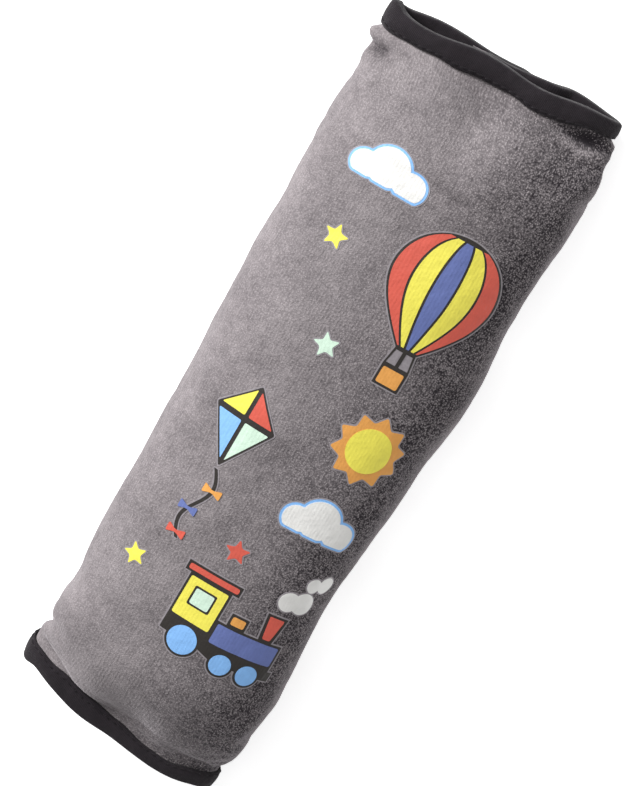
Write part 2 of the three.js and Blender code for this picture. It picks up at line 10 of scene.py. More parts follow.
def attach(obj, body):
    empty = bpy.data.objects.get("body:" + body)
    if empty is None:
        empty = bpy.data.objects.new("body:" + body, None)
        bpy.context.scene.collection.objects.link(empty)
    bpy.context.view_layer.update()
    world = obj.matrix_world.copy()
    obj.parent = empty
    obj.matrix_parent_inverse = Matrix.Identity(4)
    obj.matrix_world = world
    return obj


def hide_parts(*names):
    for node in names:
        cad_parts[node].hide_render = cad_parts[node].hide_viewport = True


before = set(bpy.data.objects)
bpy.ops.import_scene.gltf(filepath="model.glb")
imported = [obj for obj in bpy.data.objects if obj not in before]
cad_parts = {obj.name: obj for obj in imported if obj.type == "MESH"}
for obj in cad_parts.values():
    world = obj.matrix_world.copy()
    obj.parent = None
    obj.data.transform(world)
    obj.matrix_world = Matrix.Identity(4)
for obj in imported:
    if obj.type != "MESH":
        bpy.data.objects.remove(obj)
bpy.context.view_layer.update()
MM = 0.001

# The sleeve's dimensions, in millimetres, as the frame has them
LENGTH = 300
HEAD_WIDTH = 97.5
FOOT_WIDTH = 93
HEIGHT = 48
WIDEST_LEVEL = 20
TAPER_REACH = 60
HEAD_END_WIDTH = 92
FOOT_END_WIDTH = 89
HEAD_END_HEIGHT = 24
FOOT_END_HEIGHT = 27
END_SHIFT = 2.5
END_LIFT = 2.5
END_DIP = 3
END_DIP_HALF_WIDTH = 22
END_LEVEL_SHARE = 1 / 2.4
CLOSING_RUN = 38
NARROWING_RUN = 18
LIFT_RUN = 23
PINCH_RUN = 4
SKEW_RUN = 90
HEAD_SKEW = 2.4
HEAD_BOW = 0.6
HEAD_SET_BACK = 2.5
HEAD_FRONT_SHORT = 2.8
FOOT_SKEW = 5.2
FOOT_BOW = 4.5
FOOT_SET_BACK = 0.8
FOOT_BACK_SHORT = 4
VELOUR = 1.5
VELOUR_PRESSED = 1
LINING = 0.8
LINING_PRESSED = 0.6
TAPE = 0.7
TAPE_WIDTH = 9
GAP = 0.3
SLOT_HEIGHT = 13
SLOT_CORNER = 5
OVERLAP = 27
STEP_GAP = 3.5
STEP_RUN = 8
FLOOR_EDGE = 3
STRIP = 1.2
STRIP_WIDTH = 20
STRIP_END_MARGIN = 37
SQUARENESS = 2.3
SLOT_LEVEL_SHARE = 0.4

# Puckers beside the bindings, and single dents and swells in the padding
PUCKER_DEPTH = 0.8
PUCKER_PITCH = 31
PUCKER_RUN = 45
DENT_FADE = 2
# The sixth column darkens the velour's colour at the dent as painted shade; below nought it lightens it
# as a painted highlight on a ridge
DENT_COLUMNS = ("along", "arc", "reach", "spread", "depth", "painted_dent_shade", "until")
DENTS = [dict(zip(DENT_COLUMNS, row)) for row in [
    (134.8, 45, 2.8, 8, 4, 1),
    (140, 50, 3, 7, -2.8, 0, 142),
    (140.3, -38, 1.9, 8, 2.9, 1.2, 143.5),
    (137.2, -38, 1.8, 9, -1.5, -0.8),
    (141, -51, 3.5, 6, -3, 0, 144),
    (-130.7, 54, 5, 8, 3.6),
    (-141, -28, 3, 20, -1.2, 0, 143),
    (-138.5, 40, 2, 6, 1.2, 0.5),
    (-102, 62, 14, 20, 1),
    (-96, 22, 8, 16, 0.9),
    (86, -64, 24, 20, 1.9),
    (32, -62, 20, 22, -1.6),
    (-52, -62, 24, 22, 2),
]]

# Places that follow from the dimensions
END = LENGTH / 2
TAPE_START = END - TAPE_WIDTH
CLOTH_END = END - TAPE - GAP
PRESSED_START = TAPE_START - GAP
LIFT_START = PRESSED_START - LIFT_RUN
PINCH_START = PRESSED_START - PINCH_RUN
FLAP_EDGE = OVERLAP / 2
STEP_TOP = FLAP_EDGE + STEP_GAP
STEP_FOOT = STEP_TOP + STEP_RUN
FLOOR_HALF = STEP_FOOT + FLOOR_EDGE
SLOT_HALF = FLOOR_HALF + SLOT_CORNER
FLAP = VELOUR + GAP + LINING
TAPED_WALL = 2 * TAPE + VELOUR_PRESSED + LINING_PRESSED + 3 * GAP
CLOSURE = FLAP + 3 * GAP + 2 * STRIP
SLOT_FLOOR = CLOSURE + FLAP

# The photograph's camera, fitted to the outline
FRAME_HEIGHT_PX = 786
FOCAL_PX = 1928
CAMERA_ELEVATION = 75.2
CAMERA_ROLL = 30.76
CAMERA_AIM = Vector((10.3, -0.3, 20)) * MM
CAMERA_DISTANCE = 703.6 * MM


def mix(start, end, share):
    return start + (end - start) * share


def ease(value):
    share = np.clip(value, 0, 1)
    return share * share * (3 - 2 * share)


def srgb(red, green, blue):
    """A colour as read from a screen, 0 to 255, in the linear values that shaders take."""
    def linear(value):
        value /= 255
        return value / 12.92 if value <= 0.04045 else ((value + 0.055) / 1.055) ** 2.4
    return (linear(red), linear(green), linear(blue), 1)


def make_camera():
    data = bpy.data.cameras.new("camera")
    data.sensor_width = 36
    data.lens = data.sensor_width * FOCAL_PX / FRAME_HEIGHT_PX
    camera = bpy.data.objects.new("camera", data)
    elevation, roll = math.radians(CAMERA_ELEVATION), math.radians(CAMERA_ROLL)
    back = Vector((math.cos(elevation), 0, math.sin(elevation)))
    upward = Vector((math.sin(elevation), 0, -math.cos(elevation)))
    right = upward.cross(back)
    across = math.cos(roll) * right + math.sin(roll) * upward
    over = math.cos(roll) * upward - math.sin(roll) * right
    turn = Matrix((across, over, back)).transposed().to_4x4()
    camera.matrix_world = Matrix.Translation(CAMERA_AIM + back * CAMERA_DISTANCE) @ turn
    bpy.context.collection.objects.link(camera)
    bpy.context.scene.camera = camera


# Sections of the sleeve

def share_at(along, run):
    """The share of a change that is done at a place, where it runs up to the bindings."""
    share = np.clip((np.abs(along) - PRESSED_START + run) / run, 0, 1)
    return 1 - np.cos(share * math.pi / 2)


def section_at(along):
    reach = abs(along)
    closing = share_at(along, CLOSING_RUN)
    pinch = ease((reach - PINCH_START) / PINCH_RUN)
    body_width = mix(FOOT_WIDTH, HEAD_WIDTH, ease(0.5 + along / TAPER_REACH / 2))
    lift = END_LIFT * ease((reach - LIFT_START) / LIFT_RUN)
    end_height = HEAD_END_HEIGHT if along > 0 else FOOT_END_HEIGHT
    end_width = HEAD_END_WIDTH if along > 0 else FOOT_END_WIDTH
    return {
        "along": along,
        "closing": closing,
        "pinch": pinch,
        "lift": lift,
        "half": mix(body_width, end_width, share_at(along, NARROWING_RUN)) / 2,
        "top": mix(HEIGHT, end_height, closing) - lift,
        "level": mix(WIDEST_LEVEL, (end_height - END_LIFT) * END_LEVEL_SHARE, closing),
        "dip": END_DIP * closing,
        "flap_rise": mix(CLOSURE, TAPED_WALL + GAP, pinch),
        "velour": mix(VELOUR, VELOUR_PRESSED, pinch),
        "lining": mix(LINING, LINING_PRESSED, pinch),
        "inset": (TAPE + GAP) * pinch,
    }


def arch(half, floor, level, top, count):
    foot = FLOOR_HALF / half
    below = (level - floor) / (1 - foot ** SQUARENESS) ** (1 / SQUARENESS)
    start = math.atan2((level - floor) / below, foot)
    angle = np.linspace(math.pi + start, -start, count + 1)
    y, z = np.cos(angle), np.sin(angle)
    reach = (np.abs(y) ** SQUARENESS + np.abs(z) ** SQUARENESS) ** (-1 / SQUARENESS)
    height = np.where(z > 0, top - level, below)
    return np.stack([half * reach * y, level + height * reach * z], axis=1)


# Numbers of steps across the flaps, the closure's steps and the arch
FLAP_STEPS = 16
STEP_STEPS = 4
ARC_STEPS = 68
INNER_FLAP_Y = np.linspace(FLAP_EDGE, -STEP_TOP, FLAP_STEPS + 1)
STEP_Y = np.linspace(STEP_TOP, STEP_FOOT, STEP_STEPS + 1)[1:]
OUTER_FLAP_Y = np.linspace(STEP_TOP, -FLAP_EDGE, FLAP_STEPS + 1)
ARCH_FIRST = len(INNER_FLAP_Y) + len(STEP_Y)
ARCH_LAST = ARCH_FIRST + ARC_STEPS
STEP_SHARE = 1 - ease((STEP_Y - STEP_TOP) / STEP_RUN)


def row(y, z):
    return np.stack([y, np.broadcast_to(z, np.shape(y))], axis=1)


def outer_face(section):
    over = arch(section["half"], 0, section["level"], section["top"], ARC_STEPS)
    sag = section["dip"] * (1 - ease(np.abs(over[:, 0]) / END_DIP_HALF_WIDTH))
    over[:, 1] -= np.where(over[:, 1] > section["level"], sag, 0)
    rise = section["flap_rise"]
    return np.concatenate([
        row(INNER_FLAP_Y, rise), row(-STEP_Y, rise * STEP_SHARE), over,
        row(STEP_Y[::-1], 0), row(OUTER_FLAP_Y, 0),
    ])


def padded_slot_face():
    roof = SLOT_FLOOR + SLOT_HEIGHT
    level = mix(SLOT_FLOOR, roof, SLOT_LEVEL_SHARE)
    return np.concatenate([
        row(INNER_FLAP_Y, SLOT_FLOOR), row(-STEP_Y, SLOT_FLOOR),
        arch(SLOT_HALF, SLOT_FLOOR, level, roof, ARC_STEPS),
        row(STEP_Y[::-1], mix(SLOT_FLOOR, FLAP, STEP_SHARE)[::-1]), row(OUTER_FLAP_Y, FLAP),
    ])


def inward_normals(face):
    run = np.gradient(face, axis=0)
    run /= np.linalg.norm(run, axis=1)[:, None]
    return np.stack([run[:, 1], -run[:, 0]], axis=1)


def distances(path):
    """How far along a path of points each of them is."""
    return np.concatenate([[0], np.cumsum(np.linalg.norm(np.diff(path, axis=0), axis=1))])


def dent_share(dent, along, arc):
    """How much of a dent is at a place: 1 in its middle, and nothing past where it is held."""
    away = ((along - dent["along"]) / dent["reach"]) ** 2 + ((arc - dent["arc"]) / dent["spread"]) ** 2
    past = abs(along) - dent.get("until", PRESSED_START)
    return np.exp(-away) * (1 - ease(1 + past / DENT_FADE))


def relief(section, arc):
    """How far the puckers and dents draw the padding in."""
    reach = abs(section["along"])
    near = ease((reach - PRESSED_START + PUCKER_RUN) / PUCKER_RUN) * (1 - section["pinch"])
    total = PUCKER_DEPTH * near * (1 + np.cos(2 * math.pi * arc / PUCKER_PITCH))
    for dent in DENTS:
        total += dent["depth"] * dent_share(dent, section["along"], arc)
    return total


def painted_dent_shades(along, arc):
    """How much painted shade darkens the velour's colour in the sharp dents, and where it is below
    nought, how much painted highlight lightens the ridges.
    """
    return sum(dent.get("painted_dent_shade", 0) * dent_share(dent, along, arc) for dent in DENTS)


def layers_at(along):
    """Faces of every layer at a place along the sleeve, in Y and Z, with their arcs and lift."""
    section = section_at(along)
    outer = outer_face(section)
    normals = inward_normals(outer)
    arcs = distances(outer)
    arcs -= arcs[(ARCH_FIRST + ARCH_LAST) // 2]
    index = np.arange(len(outer))
    on_flap = (index <= FLAP_STEPS) | (index >= len(outer) - FLAP_STEPS - 1)
    share = np.where(on_flap, section["pinch"], section["closing"])[:, None]
    slot = mix(padded_slot_face(), outer + normals * TAPED_WALL, share)
    outward = -inward_normals(slot)
    in_arch = (index > ARCH_FIRST) & (index < ARCH_LAST)
    drawn = np.where(in_arch, relief(section, arcs), 0)

    def from_outside(depth):
        return outer + normals * (section["inset"] + depth + drawn)[:, None]

    def from_slot(depth):
        return slot + outward * (section["inset"] + depth - drawn * section["closing"])[:, None]

    return {
        "arcs": arcs, "lift": section["lift"], "outer": outer,
        "velour_out": from_outside(0),
        "wadding_out": from_outside(section["velour"] + GAP),
        "wadding_in": from_slot(section["lining"] + GAP),
        "lining_out": from_slot(section["lining"]),
        "lining_in": from_slot(0),
    }


def head_inset(y, z):
    """How far the real head's edge lies inside the straight sleeve's."""
    side = 2 * y / HEAD_END_WIDTH
    short = HEAD_FRONT_SHORT * np.clip(z / HEAD_END_HEIGHT, 0, 1)
    return HEAD_SET_BACK + HEAD_SKEW * side + HEAD_BOW * side ** 2 + short


def foot_inset(y, z):
    side = 2 * y / FOOT_END_WIDTH
    short = FOOT_BACK_SHORT * (1 - np.clip(z / FOOT_END_HEIGHT, 0, 1))
    return FOOT_SET_BACK + FOOT_SKEW * side + FOOT_BOW * side ** 2 + short


def place(along, y, z):
    """Puts points of the straight sleeve on the real one, with its crooked ends."""
    pull = ease((np.abs(along) - END + SKEW_RUN) / SKEW_RUN)
    inset = np.where(along > 0, -head_inset(y, z), foot_inset(y, z))
    shift = END_SHIFT * share_at(along, NARROWING_RUN)
    return np.stack([along + pull * inset, y + shift, z], axis=-1)


def stations(reach, spacing=2.8, crowding=0.2):
    """Places from end to end, closer together towards the ends."""
    count = 2 * round(reach / spacing)
    share = np.linspace(-1, 1, count + 1)
    return reach * ((1 + crowding) * share - crowding * share ** 3)


def grid_of(face, places, first=0, last=None):
    """One layer's face as a grid of points, a row for each place along the sleeve."""
    rows = []
    for along in places:
        layers = layers_at(along)
        points = layers[face][first:last]
        rows.append(place(along, points[:, 0], points[:, 1] + layers["lift"]))
    return np.array(rows)


def flat_grid(places, first=0, last=None):
    """Flat places of a grid: how far round the sleeve each point is, and how far along."""
    arcs = np.array([layers_at(along)["arcs"][first:last] for along in places])
    return np.stack([arcs, np.broadcast_to(places[:, None], arcs.shape)], axis=-1)


def grid_normals(grid):
    """Unit normals of a grid, out of the sleeve."""
    run_along, run_across = np.gradient(grid, axis=0), np.gradient(grid, axis=1)
    normals = np.cross(run_along, run_across)
    return normals / np.linalg.norm(normals, axis=2)[..., None]


def halved(values, axis):
    """Adds a point between each two along an axis, on the smooth curve through their neighbours."""
    v = np.moveaxis(values, axis, 0)
    before = np.concatenate([2 * v[:1] - v[1:2], v[:-2]])
    after = np.concatenate([v[2:], 2 * v[-1:] - v[-2:-1]])
    middle = (9 * (v[:-1] + v[1:]) - before - after) / 16
    out = np.empty((2 * len(v) - 1, *v.shape[1:]))
    out[::2], out[1::2] = v, middle
    return np.moveaxis(out, 0, axis)


def refined(values):
    return halved(halved(values, 0), 1)


def new_mesh(name, points, faces):
    """A mesh of points in millimetres."""
    mesh = bpy.data.meshes.new(name)
    mesh.from_pydata((np.array(points).reshape(-1, 3) * MM).tolist(), [], faces)
    mesh.update()
    return mesh


def lay_flat(mesh, flat):
    """Gives each point its flat place, in millimetres, as UV in metres."""
    layer = mesh.uv_layers.new(name="flat")
    corners = np.empty(len(mesh.loops), dtype=int)
    mesh.loops.foreach_get("vertex_index", corners)
    layer.data.foreach_set("uv", (flat.reshape(-1, 2) * MM)[corners].ravel())
    return mesh


def outward(mesh):
    """Turns a closed mesh's faces outwards if they point in."""
    volume = 0.0
    for face in mesh.polygons:
        corners = [mesh.vertices[i].co for i in face.vertices]
        for second, third in zip(corners[1:], corners[2:]):
            volume += corners[0].dot(second.cross(third))
    if volume < 0:
        mesh.flip_normals()
    return mesh


def link(mesh):
    obj = bpy.data.objects.new(mesh.name, mesh)
    bpy.context.collection.objects.link(obj)
    return obj


def dressed(mesh, material, slot_name, *nodes, sharp=math.pi):
    """Makes a piece, with its material, its body and the nodes that it stands for; its slot name is not
    used.
    """
    obj = link(mesh)
    obj.data.materials.append(material)
    obj.data.shade_smooth()
    obj.data.set_sharp_from_angle(angle=sharp)
    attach(obj, "root")
    if nodes:
        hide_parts(*nodes)
    return obj


def grid_faces(grid):
    """The numbers of a grid's points, and its faces."""
    index = np.arange(grid.shape[0] * grid.shape[1]).reshape(grid.shape[:2])
    corners = [index[:-1, :-1], index[1:, :-1], index[1:, 1:], index[:-1, 1:]]
    return index, np.stack(corners, axis=-1).reshape(-1, 4)


def sheet_mesh(name, outer, inner, flat):
    """A closed sheet between two grids of the same size."""
    index, upper = grid_faces(outer)
    loop = np.concatenate([index[0, :-1], index[:-1, -1], index[-1, :0:-1], index[:0:-1, 0]])
    after = np.roll(loop, -1)
    rim = np.stack([loop, after, after + index.size, loop + index.size], axis=-1)
    faces = np.concatenate([upper, upper[:, ::-1] + index.size, rim])
    mesh = new_mesh(name, np.stack([outer, inner]), faces.tolist())
    return outward(lay_flat(mesh, np.stack([flat, flat])))


# The two seams that hold the fastener's strip on the outer flap
STRIP_SEAM_INSET = 1.5
SEAM_HALF = STRIP_WIDTH / 2 - STRIP_SEAM_INSET
SEAM_REACH = END - STRIP_END_MARGIN
SEAM_GROOVE = 0.6
SEAM_GROOVE_HALF = 1.6
ON_FLOOR = 0.5

# Cloth

HELD_COLUMNS = 3
HELD_RUN = 1
CLOTH_FRAMES = 20
CLOTH_SETTINGS = {
    "quality": 6, "mass": 0.15, "tension_stiffness": 12, "compression_stiffness": 12,
    "shear_stiffness": 6, "bending_stiffness": 0.8, "vertex_group_mass": "held",
    "shrink_min": -0.035, "use_pressure": True, "uniform_pressure_force": 3,
}
CLOTH_CAP = 3.2
CLOTH_SHARE = 0.55

# Lumps of the velour: their size, their height and where their noise starts
SOFT_LUMPS = [(26, 0.9, 3), (9, 0.25, 7)]
FINE_LUMPS = (1.6, 0.12, 11)


def settled(grid, held):
    """Lets a grid billow as cloth with a little spare length, held where held is true."""
    index, faces = grid_faces(grid)
    cloth = link(new_mesh("cloth", grid, faces.tolist()))
    pins = cloth.vertex_groups.new(name="held")
    pins.add(index[held].tolist(), 1, "REPLACE")
    modifier = cloth.modifiers.new("cloth", "CLOTH")
    for name, value in CLOTH_SETTINGS.items():
        setattr(modifier.settings, name, value)
    modifier.settings.effector_weights.gravity = 0
    modifier.collision_settings.use_collision = False
    modifier.point_cache.frame_start = 1
    modifier.point_cache.frame_end = CLOTH_FRAMES
    for number in range(1, CLOTH_FRAMES + 1):
        bpy.context.scene.frame_set(number)
    shown = cloth.evaluated_get(bpy.context.evaluated_depsgraph_get()).to_mesh()
    points = np.empty(grid.size)
    shown.vertices.foreach_get("co", points)
    bpy.context.scene.frame_set(1)
    bpy.data.objects.remove(cloth)
    moved = points.reshape(grid.shape) / MM - grid
    far = np.linalg.norm(moved, axis=2)[..., None]
    capped = CLOTH_SHARE * CLOTH_CAP * np.tanh(far / CLOTH_CAP)
    return grid + moved * capped / np.maximum(far, 1e-6)


def lumps(grid, size, height, seed):
    """Soft noise over a grid, with lumps of one size, for moving it along its normals."""
    spots = (grid / size).reshape(-1, 3)
    offset = Vector((seed, 0, 0))
    values = [noise.noise(Vector(spot) + offset) for spot in spots.tolist()]
    return height * np.array(values).reshape(*grid.shape[:2], 1)


def seam_groove(outer, along):
    """How far the closure's two seams draw the outer flap up off the floor."""
    from_seam = np.abs(np.abs(outer[..., 1]) - SEAM_HALF) / SEAM_GROOVE_HALF
    on_floor = (outer[..., 2] < ON_FLOOR) & (np.abs(along) < SEAM_REACH)
    return np.where(on_floor, SEAM_GROOVE * np.clip(1 - from_seam, 0, 1), 0)


def velour_grids():
    """The velour's outside and inside, its outside without fine lumps, its flat places, and how much
    painted shade each point gets in the dents."""
    places = stations(CLOTH_END)
    outer, flat = grid_of("velour_out", places), flat_grid(places)
    index = np.arange(outer.shape[1])
    on_floor = (index < ARCH_FIRST + HELD_COLUMNS) | (index > ARCH_LAST - HELD_COLUMNS)
    held = (np.abs(places) > PRESSED_START - HELD_RUN)[:, None] | on_floor
    outer = settled(outer, held)
    # Painted shade in the dents, painted highlight on the ridges
    painted_dent_shade = np.array([painted_dent_shades(along, arcs) for along, arcs in zip(places, flat[..., 0])])
    thickness = np.array([section_at(along)["velour"] for along in places])[:, None, None]
    thickness = np.broadcast_to(thickness, (*held.shape, 1))
    free = np.where(held, 0.0, 1.0)[..., None]
    outer, flat, thickness, free, painted_dent_shade = [
        refined(each) for each in (outer, flat, thickness, free, painted_dent_shade)]
    normals = grid_normals(outer)
    soft = sum(lumps(outer, *each) for each in SOFT_LUMPS)
    fine = lumps(outer, *FINE_LUMPS)
    free = np.clip(free, 0, 1)
    smooth = outer + normals * soft * free
    outer = smooth + normals * fine * free
    outer[..., 2] = np.maximum(outer[..., 2], 0)
    outer[..., 2] += seam_groove(outer, flat[..., 1])
    inner = outer - grid_normals(outer) * thickness
    return outer, inner, smooth, flat, painted_dent_shade


# Materials

FILM_DARKER = 0.82
CRACKLE_SCALE = 420
HOOK_SIZE = 1 / 900


class Shader:
    """A material under construction, with short calls for its nodes."""

    def __init__(self, name):
        self.material = bpy.data.materials.new(name)
        self.material.use_nodes = True
        self.tree = self.material.node_tree
        self.surface = self.tree.nodes["Principled BSDF"]

    def node(self, kind, numbers=(), **settings):
        """A node with its settings, and with pairs of a socket's name and its constant."""
        made = self.tree.nodes.new(f"ShaderNode{kind}")
        for name, value in settings.items():
            setattr(made, name, value)
        for name, value in numbers:
            made.inputs[name].default_value = value
        return made

    def join(self, source, target):
        self.tree.links.new(source, target)

    def set(self, **values):
        for name, value in values.items():
            self.surface.inputs[name.replace("_", " ")].default_value = value

    def flat_places(self):
        return self.node("UVMap", uv_map="flat").outputs["UV"]

    def object_places(self):
        return self.node("TexCoord").outputs["Object"]

    def noise(self, places, size, detail=2.0, roughness=0.5, stretch=(1, 1, 1)):
        """Noise with lumps of a size in metres, stretched along its axes."""
        mapping = self.node("Mapping", [("Scale", [1 / part for part in stretch])])
        self.join(places, mapping.inputs["Vector"])
        texture = self.node(
            "TexNoise", [("Scale", 1 / size), ("Detail", detail), ("Roughness", roughness)])
        self.join(mapping.outputs["Vector"], texture.inputs["Vector"])
        return texture.outputs["Fac"]

    def cells(self, places, size):
        """Cells of a size in metres: a random value for each, and the distance from its middle."""
        texture = self.node("TexVoronoi", [("Scale", 1 / size)])
        self.join(places, texture.inputs["Vector"])
        parts = self.node("SeparateColor")
        self.join(texture.outputs["Color"], parts.inputs["Color"])
        return parts.outputs["Red"], texture.outputs["Distance"]

    def bands(self, places, pitch, axis="X", wobble=0.0, wobble_size=0.01):
        """Smooth bands across an axis, a pitch in metres apart."""
        texture = self.node("TexWave", [
            ("Scale", math.pi / 10 / pitch), ("Distortion", wobble), ("Detail", 1),
            ("Detail Scale", pitch / wobble_size),
        ], wave_type="BANDS", bands_direction=axis)
        self.join(places, texture.inputs["Vector"])
        return texture.outputs["Fac"]

    def wales(self, flat):
        """The fine wavy rows of the velour's pile."""
        return self.bands(flat, 0.0013, wobble=1.2, wobble_size=0.004)

    def spread(self, value, at_low, at_high, low=0.0, high=1.0, way="LINEAR"):
        """A value moved from low...high to two others."""
        made = self.node("MapRange", [
            ("From Min", low), ("From Max", high), ("To Min", at_low), ("To Max", at_high),
        ], interpolation_type=way)
        self.join(value, made.inputs["Value"])
        return made.outputs["Result"]

    def math(self, operation, first, second):
        made = self.node("Math", operation=operation)
        for socket, value in zip(made.inputs, (first, second)):
            if isinstance(value, (int, float)):
                socket.default_value = value
            else:
                self.join(value, socket)
        return made.outputs["Value"]

    def blend(self, share, first, second):
        """A colour between two, each a socket or four numbers."""
        made = self.node("Mix", data_type="RGBA")
        self.join(share, made.inputs["Factor"])
        for socket, value in zip((made.inputs[6], made.inputs[7]), (first, second)):
            if isinstance(value, tuple):
                socket.default_value = value
            else:
                self.join(value, socket)
        return made.outputs[2]

    def total(self, first, *others):
        for value in others:
            first = self.math("ADD", first, value)
        return first

    def paint(self, share, first, second):
        """Gives the surface a colour between two."""
        self.join(self.blend(share, first, second), self.surface.inputs["Base Color"])

    def bump(self, *heights):
        """Bumps from pairs of a height socket and its depth in metres, one on another."""
        normal = None
        for height, depth in heights:
            made = self.node("Bump", [("Strength", 1), ("Distance", depth)])
            self.join(height, made.inputs["Height"])
            if normal:
                self.join(normal, made.inputs["Normal"])
            normal = made.outputs["Normal"]
        self.join(normal, self.surface.inputs["Normal"])


def velour_material():
    """Short pile in tufts, each with a tone of its own, with painted shade: darker towards the right
    side and in the dents, and lighter as painted sheen at the right edge and on the ridges.
    """
    shader = Shader("velour")
    flat = shader.flat_places()
    nap = shader.noise(flat, 0.022, detail=3)
    patches = shader.noise(flat, 0.004, detail=3, roughness=0.65)
    grain = shader.noise(flat, 0.0009, detail=3, roughness=0.8)
    tuft, from_middle = shader.cells(flat, 0.0006)
    wales = shader.wales(flat)
    across = shader.node("SeparateXYZ")
    shader.join(flat, across.inputs["Vector"])
    across = across.outputs["X"]
    # Painted shade: the colour darkens towards the right side, away from the light, and a painted sheen
    # lightens a thin band at its very edge
    shade = shader.math(
        "MULTIPLY", shader.spread(across, 1, 0, -0.06, 0.02, "SMOOTHSTEP"),
        shader.spread(across, -0.15, 1, -0.064, -0.04, "SMOOTHSTEP"))
    pile = shader.spread(from_middle, 1, 0)
    fleck = shader.math("MULTIPLY", shader.math("POWER", pile, 2.0), shader.spread(tuft, 0.45, 1))
    # On the painted-shade side the tufts' flecks and the grain get more contrast, as painted glints of
    # light on the tuft tips
    fleck = shader.math("MULTIPLY", fleck, shader.spread(shade, 0.36, 1.0))
    grain = shader.math("MULTIPLY", shader.spread(grain, -1, 1), shader.spread(shade, 0.08, 0.14))
    # Painted shade in the dents and painted highlight on the ridges, kept on the mesh's points
    painted_dent_shade = shader.node("Attribute", attribute_name="painted_dent_shade").outputs["Fac"]
    tone = shader.total(
        shader.spread(nap, 0.15, -0.15), shader.spread(patches, -0.12, 0.12), fleck, grain,
        shader.spread(shade, 0.28, -0.1), shader.math("MULTIPLY", painted_dent_shade, -0.26),
        shader.spread(wales, -0.012, 0.012))
    shader.paint(tone, srgb(40, 36, 40), srgb(203, 194, 196))
    shader.bump((wales, 0.00004), (pile, 0.00012), (grain, 0.0007), (patches, 0.0004))
    shader.set(Roughness=0.95, Specular_IOR_Level=0.15, Sheen_Weight=0.6, Sheen_Roughness=0.35)
    shader.surface.inputs["Sheen Tint"].default_value = srgb(225, 218, 222)
    return shader.material


def tape_material():
    shader = Shader("binding_tape")
    flat = shader.flat_places()
    ribs = shader.bands(flat, 0.0006, wobble=0.4)
    threads = shader.noise(flat, 0.0004, detail=2)
    wear = shader.noise(flat, 0.005, detail=4, roughness=0.6)
    tone = shader.total(
        shader.spread(ribs, 0.1, 0.4), shader.spread(threads, -0.2, 0.4),
        shader.spread(wear, -0.2, 0.3))
    shader.paint(tone, srgb(14, 11, 14), srgb(52, 46, 51))
    shader.bump((ribs, 0.00008), (threads, 0.0002), (wear, 0.0008))
    shader.set(Roughness=0.85, Specular_IOR_Level=0.2, Sheen_Weight=0.12, Sheen_Roughness=0.4)
    return shader.material


def lining_material():
    shader = Shader("lining_cloth")
    flat = shader.flat_places()
    weave = shader.math(
        "MULTIPLY", shader.bands(flat, 0.0005), shader.bands(flat, 0.0005, axis="Y"))
    folds = shader.noise(flat, 0.01, detail=3)
    shader.paint(shader.total(weave, folds), srgb(24, 23, 25), srgb(44, 42, 45))
    shader.bump((weave, 0.0001), (folds, 0.0006))
    shader.set(Roughness=0.8, Specular_IOR_Level=0.3)
    return shader.material


def wadding_material():
    shader = Shader("wadding")
    places = shader.object_places()
    fibres = shader.noise(places, 0.0012, detail=6, roughness=0.75, stretch=(4, 1, 1))
    tufts = shader.noise(places, 0.009, detail=4)
    shader.paint(fibres, srgb(226, 224, 218), srgb(250, 249, 245))
    shader.bump((fibres, 0.0006), (tufts, 0.002))
    shader.set(Roughness=1.0, Specular_IOR_Level=0.1, Subsurface_Weight=0.1)
    return shader.material


def fastener_material():
    shader = Shader("fastener")
    _, hooks = shader.cells(shader.object_places(), HOOK_SIZE)
    shader.paint(hooks, srgb(44, 44, 46), srgb(18, 18, 19))
    shader.bump((hooks, 0.0006))
    shader.set(Roughness=0.6, Specular_IOR_Level=0.4)
    return shader.material


def carrier_material():
    """The clear film round each motif, with the velour showing through it in a fixed mid grey, which on
    the darker velour reads as a thin painted highlight along the motif's edge.
    """
    shader = Shader("carrier")
    flat = shader.flat_places()
    mottle = shader.noise(flat, 0.0015, detail=3)
    # A fixed mid grey: partly the velour seen through the clear film, partly a painted highlight along
    # the motifs' edges where the velour is darker
    shader.paint(mottle, srgb(118, 112, 117), srgb(164, 158, 162))
    shader.bump((mottle, 0.0001))
    shader.set(Roughness=0.35, Specular_IOR_Level=0.5)
    return shader.material


def film_material(name, colour):
    """Printed transfer film: a flat colour under a thin, slightly crackled gloss."""
    shader = Shader(name)
    flat = shader.flat_places()
    crackle = shader.node("TexVoronoi", [("Scale", CRACKLE_SCALE)], feature="DISTANCE_TO_EDGE")
    shader.join(flat, crackle.inputs["Vector"])
    darker = tuple(FILM_DARKER * part for part in colour[:3]) + (1,)
    shader.paint(shader.noise(flat, 0.004, detail=3), colour, darker)
    shader.bump(
        (shader.wales(flat), 0.00002), (shader.noise(flat, 0.003, detail=3), 0.00025),
        (crackle.outputs["Distance"], 0.00008))
    shader.set(Roughness=0.42, Specular_IOR_Level=0.4, Coat_Weight=0.15, Coat_Roughness=0.25)
    return shader.material


# Bindings

BINDING_STEPS = 420
BINDING_SMOOTHING = 6
TAPE_CORNER = 1.1
TAPE_SWELL = 0.8
SWELL_AT_EDGE = 0.15
RIPPLE_LOST = 0.7
TAPE_SHORT = 0.12
TAPE_SHORT_RIGHT = 0.38
FOOT_SHORT_LEFT = 0.22
FOOT_SHORT_RIGHT = 0.3
RIPPLE = 0.9
FRONT_RIPPLE_PITCH = 43
FRONT_RIPPLE_SHIFT = 8.6
FRONT_RIPPLE_AT_FOOT = 0.3
BACK_RIPPLE_PITCH = 54
FLAP_BACK = 1.5
FLAP_BACK_RUN = 8

# Waves of the tape's inner edge and of its swell: height, length and shift at each end
EDGE_WAVES = [(0.4, 4.9, 1), (0.2, 2.3, 2)]
SWELL_WAVES = [(0.35, 5.7, 0), (0.25, 3.1, 1)]

